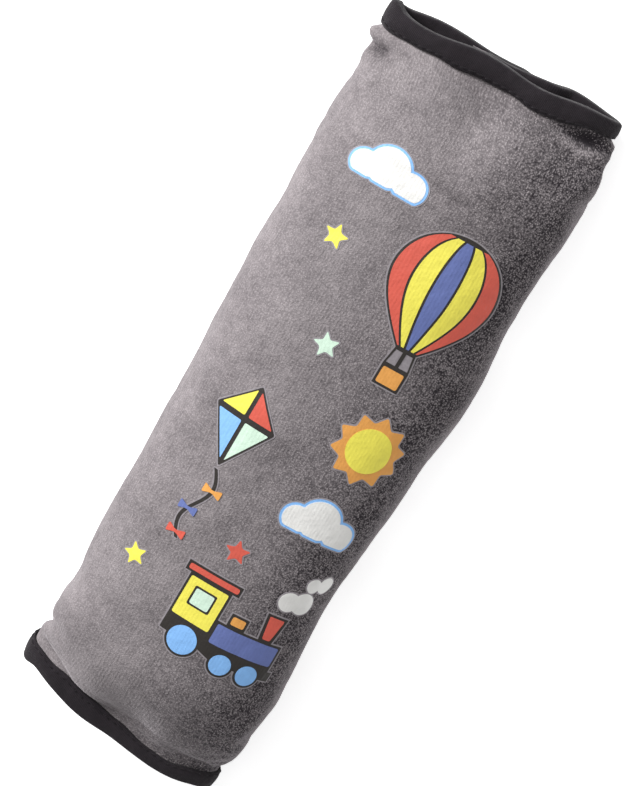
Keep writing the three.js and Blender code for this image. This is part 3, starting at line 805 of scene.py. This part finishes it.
# How far the bindings' corners reach out, by the end and the side that they are at
CORNER_REACH = {(1, 1): 2.0, (1, -1): 0.4, (-1, 1): 3.8, (-1, -1): 1.6}
CORNER_SPAN = 4.5


def even(path, count):
    """Points at even distances along a path of points."""
    lengths = distances(path)
    spots = np.linspace(0, lengths[-1], count)
    return np.stack([np.interp(spots, lengths, column) for column in path.T], axis=1), spots


def smoothed(values, turns):
    for _ in range(turns):
        values[1:-1] = (values[:-2] + 2 * values[1:-1] + values[2:]) / 4
    return values


def tape_profile():
    """The folded tape's outline: distance from the edge of the end inwards, and depth in the wall."""
    corner = np.linspace(0, math.pi / 2, 5)[1:-1]
    outer = [(t, 0.0) for t in np.linspace(TAPE_WIDTH, TAPE_CORNER, 9)]
    outer += [(TAPE_CORNER * (1 - math.sin(a)), TAPE_CORNER * (1 - math.cos(a))) for a in corner]
    web = [(0.0, TAPE_CORNER), (0.0, TAPED_WALL / 2), (0.0, TAPED_WALL - TAPE_CORNER)]
    inner = [(t, TAPED_WALL - depth) for t, depth in reversed(outer)]
    far = TAPED_WALL - TAPE
    return np.array(
        outer + web + inner + [(TAPE_WIDTH, far), (TAPE, far), (TAPE, TAPE), (TAPE_WIDTH, TAPE)])


def front_ripple(end, y):
    """How the front's edge strays along the sleeve, at a place across it."""
    share = 1 if end > 0 else FRONT_RIPPLE_AT_FOOT
    return share * RIPPLE * np.cos(2 * math.pi * (y - FRONT_RIPPLE_SHIFT) / FRONT_RIPPLE_PITCH)


def back_ripple(end, y):
    return -RIPPLE * np.cos(2 * math.pi * y / BACK_RIPPLE_PITCH) * (end > 0)


def corner_reach(end, y):
    """How far the folded corners reach out along the sleeve, at a place across it."""
    half = (HEAD_END_WIDTH if end > 0 else FOOT_END_WIDTH) / 2
    return sum(CORNER_REACH[end, side] * np.exp(-((side * y - half) / CORNER_SPAN) ** 2)
               for side in (-1, 1))


def waves(table, spots, end):
    return sum(height * np.sin(spots / length + shift * end) for height, length, shift in table)


def tape_rings(end, profile):
    """A profile carried along the edge of the wall, a little wavy, and how far round its rings are."""
    layers = layers_at(end * END)
    path, spots = even(layers["outer"], BINDING_STEPS)
    path = smoothed(path, BINDING_SMOOTHING)
    normals = inward_normals(path)
    wave = waves(EDGE_WAVES, spots, end)
    swell = TAPE_SWELL * (1 + waves(SWELL_WAVES, spots, end))
    over = ease((path[:, 1] - 2 * TAPED_WALL) / TAPED_WALL)
    ripple = mix(back_ripple(end, path[:, 0]), front_ripple(end, path[:, 0]), over)
    edge = np.minimum(spots, spots[-1] - spots)
    ripple += corner_reach(end, path[:, 0]) - FLAP_BACK * (1 - ease(edge / FLAP_BACK_RUN))
    across = 4 * path[:, 0] / FOOT_END_WIDTH
    if end > 0:
        short = mix(TAPE_SHORT, TAPE_SHORT_RIGHT, ease(-across - 1))
    else:
        short = FOOT_SHORT_LEFT * ease(across - 1) + FOOT_SHORT_RIGHT * ease(0.5 - across)
    rows = []
    for inwards, depth in profile:
        leg = np.clip((inwards - TAPE_CORNER) / (TAPE_WIDTH - TAPE_CORNER), 0, 1)
        middle = math.sin(math.pi * mix(SWELL_AT_EDGE, 1, leg)) if depth < TAPED_WALL / 2 else 0
        at = path + normals * (depth - swell * middle)[:, None]
        shortened = inwards * (1 - short * leg)
        along = end * (END - shortened - wave * leg + ripple * (1 - RIPPLE_LOST * leg))
        rows.append(place(along, at[:, 0], np.maximum(at[:, 1] + layers["lift"], 0)))
    return np.array(rows).transpose(1, 0, 2), spots


def loft_mesh(name, rings, flat):
    """A closed body through rings of points."""
    count, size = rings.shape[:2]
    index = np.arange(count * size).reshape(count, size)
    after = np.roll(index, -1, axis=1)
    sides = np.stack([index[:-1], after[:-1], after[1:], index[1:]], axis=-1).reshape(-1, 4)
    faces = sides.tolist() + [index[0, ::-1].tolist(), index[-1].tolist()]
    return outward(lay_flat(new_mesh(name, rings, faces), flat))


def make_binding(end, name, material):
    profile = tape_profile()
    rings, spots = tape_rings(end, profile)
    flat = np.stack(np.meshgrid(spots, distances(profile), indexing="ij"), axis=-1)
    dressed(loft_mesh(name, rings, flat), material, "binding_tape", name)


# Print

FILM_PITCH = 1.5
EDGE_PITCH = 0.7
FILM_TOP = 0.26
FILM_LAYER = 0.1
FILM_SUNK = 0.36
CARRIER_MARGIN = 0.55
FILM_EDGE_ANGLE = math.radians(35)
FILM_START = 0.4


class Front:
    """Finds places on the finished velour by how far up the sleeve and right of its middle they are."""

    def __init__(self, outer, flat):
        self.outer, self.flat = outer, flat
        self.normals = grid_normals(outer)
        self.rows = flat[:, 0, 1]

    def at(self, up, right, raised):
        spot = np.interp(up, self.rows, np.arange(len(self.rows)))
        low = min(int(spot), len(self.rows) - 2)
        ends = []
        for index in (low, low + 1):
            arcs = self.flat[index, :, 0]
            both = np.concatenate([self.outer[index], self.normals[index]], axis=1)
            ends.append(np.array([np.interp(-right, arcs, column) for column in both.T]))
        found = mix(ends[0], ends[1], spot - low)
        return found[:3] + raised * found[3:]


def divided(points):
    """A closed outline with points no further apart than the edge pitch."""
    made = []
    for here, after in zip(points, np.roll(points, -1, axis=0)):
        count = max(1, math.ceil(np.linalg.norm(after - here) / EDGE_PITCH))
        made += [mix(here, after, i / count) for i in range(count)]
    return np.array(made)


def inside(outlines, spots):
    """Whether each spot lies inside the outlines, by the even and odd rule."""
    result = np.zeros(len(spots), dtype=bool)
    for outline in outlines:
        x, y = outline.T
        next_x, next_y = np.roll(x, -1), np.roll(y, -1)
        for k, (px, py) in enumerate(spots):
            crosses = (y > py) != (next_y > py)
            at = x[crosses] + (py - y[crosses]) * (next_x - x)[crosses] / (next_y - y)[crosses]
            result[k] ^= bool(np.count_nonzero(at > px) % 2)
    return result


def filled(outlines):
    """Triangles over an area with holes: its points, its triangles and its boundary loops."""
    loops, points = [], []
    for outline in outlines:
        loops.append(list(range(len(points), len(points) + len(outline))))
        points += outline.tolist()
    edges = [(a, b) for loop in loops for a, b in zip(loop, loop[1:] + loop[:1])]
    low, high = np.min(points, axis=0), np.max(points, axis=0)
    columns = [np.arange(low[k] + FILM_START, high[k], FILM_PITCH) for k in (0, 1)]
    spots = np.stack(np.meshgrid(*columns), axis=-1).reshape(-1, 2)
    spots = spots[inside(outlines, spots)]
    border = np.array(points)
    apart = np.linalg.norm(spots[:, None] - border[None], axis=2).min(axis=1) if len(spots) else []
    spots = [spot for spot, far in zip(spots, apart) if far > EDGE_PITCH]
    vectors = [Vector(point) for point in points + [spot.tolist() for spot in spots]]
    made, _, triangles, *_ = delaunay_2d_cdt(vectors, edges, [], 0, 1e-5)
    places = np.array([list(vertex) for vertex in made])
    middles = np.array([places[list(triangle)].mean(axis=0) for triangle in triangles])
    kept = [list(t) for t, good in zip(triangles, inside(outlines, middles)) if good]
    return places, kept


def widened(outline, margin):
    """A divided outline moved out by a margin."""
    run = np.roll(outline, -1, axis=0) - np.roll(outline, 1, axis=0)
    run /= np.linalg.norm(run, axis=1)[:, None]
    after = np.roll(outline, -1, axis=0)
    area = np.sum(outline[:, 0] * after[:, 1] - after[:, 0] * outline[:, 1])
    return outline + margin * math.copysign(1, area) * np.stack([run[:, 1], -run[:, 0]], axis=1)


def film_mesh(name, outlines, spot, layer, front, margin=0):
    """A thin film in an outline, laid on the velour with its edges tucked into the pile."""
    outlines = [divided(np.array(outline, dtype=float)) for outline in outlines]
    if margin:
        outlines = [widened(outlines[0], margin)]
    places, triangles = filled(outlines)
    angle = spot.get("turn", 0)
    turn = np.array([[math.cos(angle), math.sin(angle)], [-math.sin(angle), math.cos(angle)]])
    turned = places @ turn
    top = FILM_TOP + FILM_LAYER * layer
    count = len(places)
    ups, rights = LENGTH * spot["up"] + turned[:, 1], HEAD_WIDTH * spot["right"] + turned[:, 0]
    points = [front.at(up, right, top) for up, right in zip(ups, rights)]
    points += [front.at(up, right, top - FILM_SUNK) for up, right in zip(ups, rights)]
    sides = {(a, b) for t in triangles for a, b in zip(t, t[1:] + t[:1])}
    rim = [(a, b) for a, b in sides if (b, a) not in sides]
    faces = triangles + [[i + count for i in reversed(t)] for t in triangles]
    faces += [[b, a, a + count, b + count] for a, b in sorted(rim)]
    return outward(lay_flat(new_mesh(name, points, faces), np.stack([places, places])))


# Outlines of the print, with their top up the sleeve

FIELD_EDGE = 0.9
BALLOON = {"radius": 20, "height": 46, "belly": 26, "neck": 4,
           "basket_half": 5, "basket_top": -7, "basket_bottom": -15, "rope": 0.7}
GORE_SHARES = [-1, -0.6, -0.2, 0.2, 0.6, 1]
SUN = {"rays": 10, "tip": 14, "root": 10.5, "disc": 8.5}
CLOUD = {"rounds": [(-9, 0, 6), (-1, 3, 8.5), (8.5, 0, 6.5)], "floor": -5}
SMOKE = {"rounds": [(-3, 0, 4), (2.5, 1, 4.5)], "floor": -4}
SMOKE_EDGES = [0, 1]
ENGINE_WHEELS = [(-12.5, 6.5, 6.5), (4, 5, 5), (15, 5, 5)]
ENGINE_RIM = [
    (24, 5), (24, 9), (22, 9), (22, 20), (17, 20), (18.5, 31), (10, 31), (11.5, 20), (5.5, 20),
    (5.5, 25), (-1.5, 25), (-1.5, 20), (-5, 20), (-5, 31), (-2.5, 31), (-2.5, 35), (-24.5, 35),
    (-24.5, 31), (-22, 31), (-22, 6.5),
]
CAB = (-21.1, 14, -5.9, 30.1)
CAB_OPENING = (-18, 19.5, -9, 27.5)
WINDOW = (-17.2, 20.3, -9.8, 26.7)
ROOF = (-23.6, 31.9, -3.4, 34.1)
BOILER = (-4.1, 11.2, 21.1, 19.1)
DOME = (-0.6, 20.9, 4.6, 24.1)
CHIMNEY = [(12.7, 20.9), (15.8, 20.9), (17.3, 30.1), (11.2, 30.1)]
KITE = {"top": 13, "half": 12, "bottom": -20, "quarter_share": 0.8,
        "tail": 30, "tail_sway": 3, "tail_half": 0.7, "bow": 3.6, "knot": 0.6}
BOW_SHARES = [0.27, 0.6, 0.93]
STAR = {"points": 5, "tip": 5, "root": 2.2}

# Where the print's motifs lie: up as a share of the length, right as a share of the width
BALLOON_SPOT = {"up": 0.153, "right": 0.19}
SUN_SPOT = {"up": 0.027, "right": 0.265}
ENGINE_SPOT = {"up": -0.313, "right": 0.159}
KITE_SPOT = {"up": -0.013, "right": -0.18}
CLOUD_SPOTS = [{"up": 0.323, "right": -0.18}, {"up": -0.087, "right": 0.254}]
SMOKE_SPOTS = [{"up": -0.187, "right": 0.339}, {"up": -0.157, "right": 0.402}]
STARS = [
    ("yellow", {"up": 0.227, "right": -0.233}),
    ("mint", {"up": 0.113, "right": -0.064, "turn": 0.4}),
    ("red", {"up": -0.16, "right": 0.042, "turn": 0.2}),
    ("yellow", {"up": -0.233, "right": -0.286, "turn": 0.5}),
]
ROUND_POINTS = 64
WHEEL_POINTS = 24
CORNER = 0.7
CORNER_REACH_SHARE = 0.45
CORNER_POINTS = 5
BOX_CORNER = 0.8
SPIKE_CORNER = 0.9


def rounded(points, radius=CORNER):
    """A closed outline with its corners rounded."""
    points = [np.array(point, dtype=float) for point in points]
    made = []
    for before, here, after in zip(points[-1:] + points[:-1], points, points[1:] + points[:1]):
        back, on = np.linalg.norm(before - here), np.linalg.norm(after - here)
        reach = min(radius, CORNER_REACH_SHARE * back, CORNER_REACH_SHARE * on)
        start, stop = here + (before - here) / back * reach, here + (after - here) / on * reach
        for t in np.linspace(0, 1, CORNER_POINTS):
            made.append((1 - t) ** 2 * start + 2 * t * (1 - t) * here + t ** 2 * stop)
    return made


def box(left, bottom, right, top):
    return rounded([(left, bottom), (right, bottom), (right, top), (left, top)], BOX_CORNER)


def arc_shape(radius, x, y, angles):
    return [(x + radius * math.cos(a), y + radius * math.sin(a)) for a in angles]


def round_shape(radius, x=0, y=0):
    return arc_shape(radius, x, y, np.linspace(0, 2 * math.pi, ROUND_POINTS, endpoint=False))


def spiked(count, outer, inner):
    points = []
    for i in range(2 * count):
        radius, angle = (outer if i % 2 == 0 else inner), -math.pi * i / count
        points.append((radius * math.sin(angle), radius * math.cos(angle)))
    return rounded(points, SPIKE_CORNER)


def cloud(shape, edge):
    points = []
    for angle in np.linspace(0, 2 * math.pi, 2 * ROUND_POINTS, endpoint=False):
        x, y = math.cos(angle), math.sin(angle)
        reach = 0
        for middle, level, radius in shape["rounds"]:
            near = middle * x + level * y
            square = near ** 2 - middle ** 2 - level ** 2 + (radius - edge) ** 2
            if square > 0:
                reach = max(reach, near + math.sqrt(square))
        if y < 0:
            reach = min(reach, (shape["floor"] + edge) / y)
        points.append((x * reach, y * reach))
    return points


def balloon_half(level):
    radius, height = BALLOON["radius"], BALLOON["height"]
    belly, neck = BALLOON["belly"], BALLOON["neck"]
    if level > belly:
        return radius * math.sqrt(max(0, 1 - ((level - belly) / (height - belly)) ** 2))
    return mix(neck, radius, math.sin(math.pi * level / belly / 2))


def balloon_backing():
    height, neck, rope = BALLOON["height"], BALLOON["neck"], BALLOON["rope"]
    half, top, bottom = BALLOON["basket_half"], BALLOON["basket_top"], BALLOON["basket_bottom"]
    levels = [height * math.sin(share * math.pi / 2) for share in np.linspace(0, 1, 40)]
    right = [(balloon_half(level), level) for level in levels]
    left = [(-x, y) for x, y in reversed(right[:-1])]
    basket = [(-half, bottom), (half, bottom), (half, top)]
    outlines = [basket + right + left + [(-half, top)]]
    for way in (-1, 1):
        outlines.append([
            (way * rope, -rope), (way * rope, top + rope),
            (way * (half - rope), top + rope), (way * (neck - rope), -rope),
        ])
    return outlines


def gore(low, high):
    """One gore of the balloon, between two shares of its half width."""
    levels = np.linspace(FIELD_EDGE, BALLOON["height"] - 2 * FIELD_EDGE, 30)

    def side(share, way):
        edge = FIELD_EDGE if abs(share) == 1 else FIELD_EDGE / 2
        return [(share * balloon_half(level) + way * edge, level) for level in levels]

    return side(high, -1) + side(low, 1)[::-1]


def engine_backing():
    points = [ENGINE_RIM[-1]]
    for x, y, radius in ENGINE_WHEELS:
        points += arc_shape(radius, x, y, np.linspace(math.pi, 2 * math.pi, WHEEL_POINTS))
    return points + ENGINE_RIM[:-1]


def kite_quarters():
    half, share = KITE["half"], KITE["quarter_share"]
    ends = [(1, KITE["top"]), (-1, KITE["top"]), (-1, KITE["bottom"]), (1, KITE["bottom"])]
    made = []
    for way, tip in ends:
        middle = (way * half / 3, tip / 3)
        corners = [(0, 0), (way * half, 0), (0, tip)]
        made.append([(mix(middle[0], x, share), mix(middle[1], y, share)) for x, y in corners])
    return made


def kite_tail_at(share):
    sway = KITE["tail_sway"] * math.sin(2 * math.pi * share)
    return sway, KITE["bottom"] - 2 * KITE["tail_half"] - KITE["tail"] * share


def kite_tail():
    middles = [kite_tail_at(share) for share in np.linspace(0, 1, 32)]
    half = KITE["tail_half"]
    return [(x - half, y) for x, y in middles] + [(x + half, y) for x, y in middles[::-1]]


def kite_bow(share):
    x, y = kite_tail_at(share)
    points = []
    for a, b in ((-1, -1), (1, -1), (1, 1), (-1, 1)):
        wing = (x + a * KITE["bow"], y + b * KITE["bow"] / 2)
        waist = (x + a * KITE["knot"], y + b * KITE["knot"])
        points += [wing, waist] if a * b > 0 else [waist, wing]
    return rounded(points)


FILM_COLOURS = {
    "charcoal": srgb(50, 46, 43),
    "white": srgb(240, 239, 236),
    "yellow": srgb(243, 233, 93),
    "orange": srgb(232, 164, 84),
    "red": srgb(218, 96, 80),
    "blue_violet": srgb(104, 118, 176),
    "light_blue": srgb(138, 191, 249),
    "mint": srgb(214, 240, 220),
}


def prints():
    """Every film of the print: its name, colour, spot, layer and outlines."""
    films = []

    def add(name, colour, spot, layer, *outlines):
        films.append((name, colour, spot, layer, outlines))

    add("balloon_backing", "charcoal", BALLOON_SPOT, 0, *balloon_backing())
    for i, colour in enumerate(["red", "yellow", "blue_violet", "yellow", "red"]):
        shape = gore(GORE_SHARES[i], GORE_SHARES[i + 1])
        add(f"balloon_gore_{i + 1}", colour, BALLOON_SPOT, 1, shape)
    half = BALLOON["basket_half"] - FIELD_EDGE
    basket = box(
        -half, BALLOON["basket_bottom"] + FIELD_EDGE, half, BALLOON["basket_top"] - FIELD_EDGE)
    add("balloon_basket", "orange", BALLOON_SPOT, 1, basket)
    add("sun_rays", "orange", SUN_SPOT, 0, spiked(SUN["rays"], SUN["tip"], SUN["root"]))
    add("sun_disc", "yellow", SUN_SPOT, 1, round_shape(SUN["disc"]))
    for i, spot in enumerate(CLOUD_SPOTS):
        add(f"cloud_{i + 1}_edge", "light_blue", spot, 0, cloud(CLOUD, 0))
        add(f"cloud_{i + 1}", "white", spot, 1, cloud(CLOUD, FIELD_EDGE))
    for i, spot in enumerate(SMOKE_SPOTS):
        add(f"smoke_{i + 1}", "white", spot, 0, cloud(SMOKE, SMOKE_EDGES[i]))
    add("engine_backing", "charcoal", ENGINE_SPOT, 0, engine_backing())
    for part, colour, *outlines in [
        ("cab", "yellow", box(*CAB), box(*CAB_OPENING)), ("window", "mint", box(*WINDOW)),
        ("roof", "red", box(*ROOF)), ("boiler", "blue_violet", box(*BOILER)),
        ("dome", "orange", box(*DOME)), ("chimney", "red", rounded(CHIMNEY)),
    ]:
        add(f"engine_{part}", colour, ENGINE_SPOT, 1, *outlines)
    for i, (x, y, radius) in enumerate(ENGINE_WHEELS):
        wheel = round_shape(radius - FIELD_EDGE, x, y)
        add(f"engine_wheel_{i + 1}", "light_blue", ENGINE_SPOT, 1, wheel)
    half = KITE["half"]
    kite = [(0, KITE["bottom"]), (half, 0), (0, KITE["top"]), (-half, 0)]
    add("kite_backing", "charcoal", KITE_SPOT, 0, rounded(kite))
    for i, colour in enumerate(["red", "yellow", "light_blue", "mint"]):
        add(f"kite_quarter_{i + 1}", colour, KITE_SPOT, 1, rounded(kite_quarters()[i]))
    add("kite_tail", "charcoal", KITE_SPOT, 0, kite_tail())
    for i, colour in enumerate(["orange", "blue_violet", "red"]):
        add(f"kite_bow_{i + 1}", colour, KITE_SPOT, 1, kite_bow(BOW_SHARES[i]))
    for i, (colour, spot) in enumerate(STARS):
        add(f"star_{i + 1}", colour, spot, 0, spiked(STAR["points"], STAR["tip"], STAR["root"]))
    return films


# Sewing thread

# The thread's radius, its stitches and where the bindings' seams run, in millimetres
THREAD = 0.28
STITCH = 2.5
STITCH_PITCH = 3.2
SEAM_INSET = 1.6
SEAM_RAISE = 0.12
SEAM_START = 1

# A stitch's shape, as shares of the thread's radius, and how finely it is divided
STITCH_RISE = 0.9
STITCH_SUNK = 0.5
STITCH_THIN = 0.55
STITCH_SIDES = 6
STITCH_RINGS = 5


def stitch_mesh(name, places):
    """Short rounded stitches, each from a start to a stop over the cloth."""
    points, faces = [], []
    sides, rings = STITCH_SIDES, STITCH_RINGS
    for start, stop, raise_by in places:
        run = (stop - start) / np.linalg.norm(stop - start)
        across = np.cross(run, raise_by)
        across /= np.linalg.norm(across)
        up = np.cross(across, run)
        first = len(points)
        for t in np.linspace(0, 1, rings):
            bend = math.sin(math.pi * t)
            middle = mix(start, stop, t) + up * THREAD * (STITCH_RISE * bend - STITCH_SUNK)
            radius = THREAD * mix(STITCH_THIN, 1, bend)
            for k in range(sides):
                a = 2 * math.pi * k / sides
                points.append(middle + radius * (math.cos(a) * across + math.sin(a) * up))
        for r in range(rings - 1):
            for k in range(sides):
                a, b = first + r * sides + k, first + r * sides + (k + 1) % sides
                faces.append([a, b, b + sides, a + sides])
        faces.append([first + k for k in reversed(range(sides))])
        faces.append([first + (rings - 1) * sides + k for k in range(sides)])
    return outward(new_mesh(name, points, faces))


def make_binding_seam(end, name, material):
    """The seam that holds the folded tape, along its inner edge on the outside."""
    profile = np.array([(TAPE_WIDTH - SEAM_INSET, 0.0), (TAPE_WIDTH - SEAM_INSET, 1.0)])
    rings, spots = tape_rings(end, profile)
    outward_way = rings[:, 0] - rings[:, 1]
    on_top = rings[:, 0] + outward_way * SEAM_RAISE
    places = []
    for start in np.arange(SEAM_START, spots[-1] - STITCH, STITCH_PITCH):
        ends = [np.array([np.interp(s, spots, column) for column in on_top.T])
                for s in (start, start + STITCH)]
        way = np.array([np.interp(start, spots, column) for column in outward_way.T])
        places.append((*ends, way))
    dressed(stitch_mesh(name, places), material, "binding_tape")


def make_closure_seams(name, material):
    """The seams of the fastener's strip, seen on the outer flap's underside."""
    places = []
    for y in (-SEAM_HALF, SEAM_HALF):
        for x in np.arange(-SEAM_REACH, SEAM_REACH - STITCH, STITCH_PITCH):
            ends = [np.array([at, y, SEAM_GROOVE - THREAD / 2]) for at in (x, x + STITCH)]
            places.append((*ends, np.array([0.0, 0.0, -1.0])))
    dressed(stitch_mesh(name, places), material, "fastener")


# Inner pieces

WADDING_LUMP = 7
WADDING_DENT = 0.9
WADDING_START = 5
WADDING_FIRST = ARCH_FIRST - 2
WADDING_LAST = ARCH_LAST + 3


def make_inner(name, node, material, faces, reach, first=0, last=None, dent=0):
    """A sheet between two of the layers' faces, the outer one dented in lumps."""
    places = stations(reach)
    outer, inner = [grid_of(face, places, first, last) for face in faces]
    if dent:
        outer = outer - np.abs(lumps(outer, WADDING_LUMP, dent, WADDING_START)) * grid_normals(outer)
    dressed(sheet_mesh(name, outer, inner, flat_grid(places, first, last)), material, name, node)


# The stage

FLOOR_GLOW = 0.62
FLOOR_REACH = 3000
WORLD_STRENGTH = 0.3

# Lamps: where they stand and how wide they are, in metres, and their watts
LAMPS = {
    "key": ((0.6, 1.3, 0.85), 0.7, 40),
    "fill": ((0.5, 0.2, 1.6), 1.2, 5),
    "rim": ((0.1, -1.3, 0.15), 0.5, 5),
}


def make_lamp(name, spot, size, watts):
    data = bpy.data.lights.new(name, "AREA")
    data.size = size
    data.energy = watts
    light = bpy.data.objects.new(name, data)
    light.location = spot
    light.rotation_euler = (-Vector(spot)).to_track_quat("-Z", "Y").to_euler()
    bpy.context.collection.objects.link(light)


def make_world():
    world = bpy.data.worlds.new("world")
    world.use_nodes = True
    sky = world.node_tree.nodes["Background"].inputs
    sky["Color"].default_value = (1, 1, 1, 1)
    sky["Strength"].default_value = WORLD_STRENGTH
    bpy.context.scene.world = world


def floor_material():
    """A plain pale floor that the camera sees a little brighter than the light leaves it."""
    shader = Shader("floor")
    tone = shader.noise(shader.object_places(), 0.05, detail=3)
    shader.paint(tone, srgb(244, 244, 245), srgb(248, 248, 248))
    shader.set(Roughness=0.8, Specular_IOR_Level=0.1)
    shader.surface.inputs["Emission Color"].default_value = (1, 1, 1, 1)
    path = shader.node("LightPath")
    seen = path.outputs["Is Camera Ray"]
    for ray in ("Is Glossy Ray", "Is Transmission Ray"):
        seen = shader.math("MAXIMUM", seen, path.outputs[ray])
    glow = shader.math("MULTIPLY", seen, FLOOR_GLOW)
    shader.join(glow, shader.surface.inputs["Emission Strength"])
    return shader.material


def make_floor():
    corners = [(-1, -1, 0), (1, -1, 0), (1, 1, 0), (-1, 1, 0)]
    mesh = new_mesh("floor", FLOOR_REACH * np.array(corners), [(0, 1, 2, 3)])
    floor = link(mesh)
    floor.data.materials.append(floor_material())


make_camera()
make_world()
make_floor()
for name, lamp in LAMPS.items():
    make_lamp(name, *lamp)

velour_out, velour_in, velour_smooth, velour_flat, painted_dent_shade = velour_grids()
cover_mesh = sheet_mesh("velour", velour_out, velour_in, velour_flat)
# The painted shade of the dents, kept on the velour's points for its material
pile = cover_mesh.attributes.new("painted_dent_shade", "FLOAT", "POINT")
pile.data.foreach_set("value", np.concatenate([painted_dent_shade.ravel()] * 2))
cover = dressed(cover_mesh, velour_material(), "velour", "velour_cover")

tape = tape_material()
for make, kind in ((make_binding, "binding"), (make_binding_seam, "seam")):
    for end, side in ((1, "head"), (-1, "foot")):
        make(end, f"{kind}_{side}", tape)
make_closure_seams("seams_closure", tape)
make_inner("lining_cloth", "lining", lining_material(), ("lining_out", "lining_in"), CLOTH_END)
make_inner("wadding", "filling", wadding_material(), ("wadding_out", "wadding_in"),
           PINCH_START, WADDING_FIRST, WADDING_LAST, WADDING_DENT)

carrier = carrier_material()
films = {name: film_material(f"film_{name}", colour) for name, colour in FILM_COLOURS.items()}
front = Front(velour_smooth, velour_flat)
for name, colour, spot, layer, outlines in prints():
    node = f"print_{name}"
    mesh = film_mesh(node, outlines, spot, layer, front)
    dressed(mesh, films[colour], f"film_{colour}", node, sharp=FILM_EDGE_ANGLE)
    if layer == 0:
        mesh = film_mesh(f"carrier_{name}", outlines, spot, -1, front, CARRIER_MARGIN)
        dressed(mesh, carrier, f"film_{colour}", sharp=FILM_EDGE_ANGLE)

for node in ("hook_strip", "loop_strip"):
    materials = bpy.data.objects[node].data.materials
    materials.clear()
    materials.append(fastener_material())

bpy.context.scene.view_settings.view_transform = "Standard"
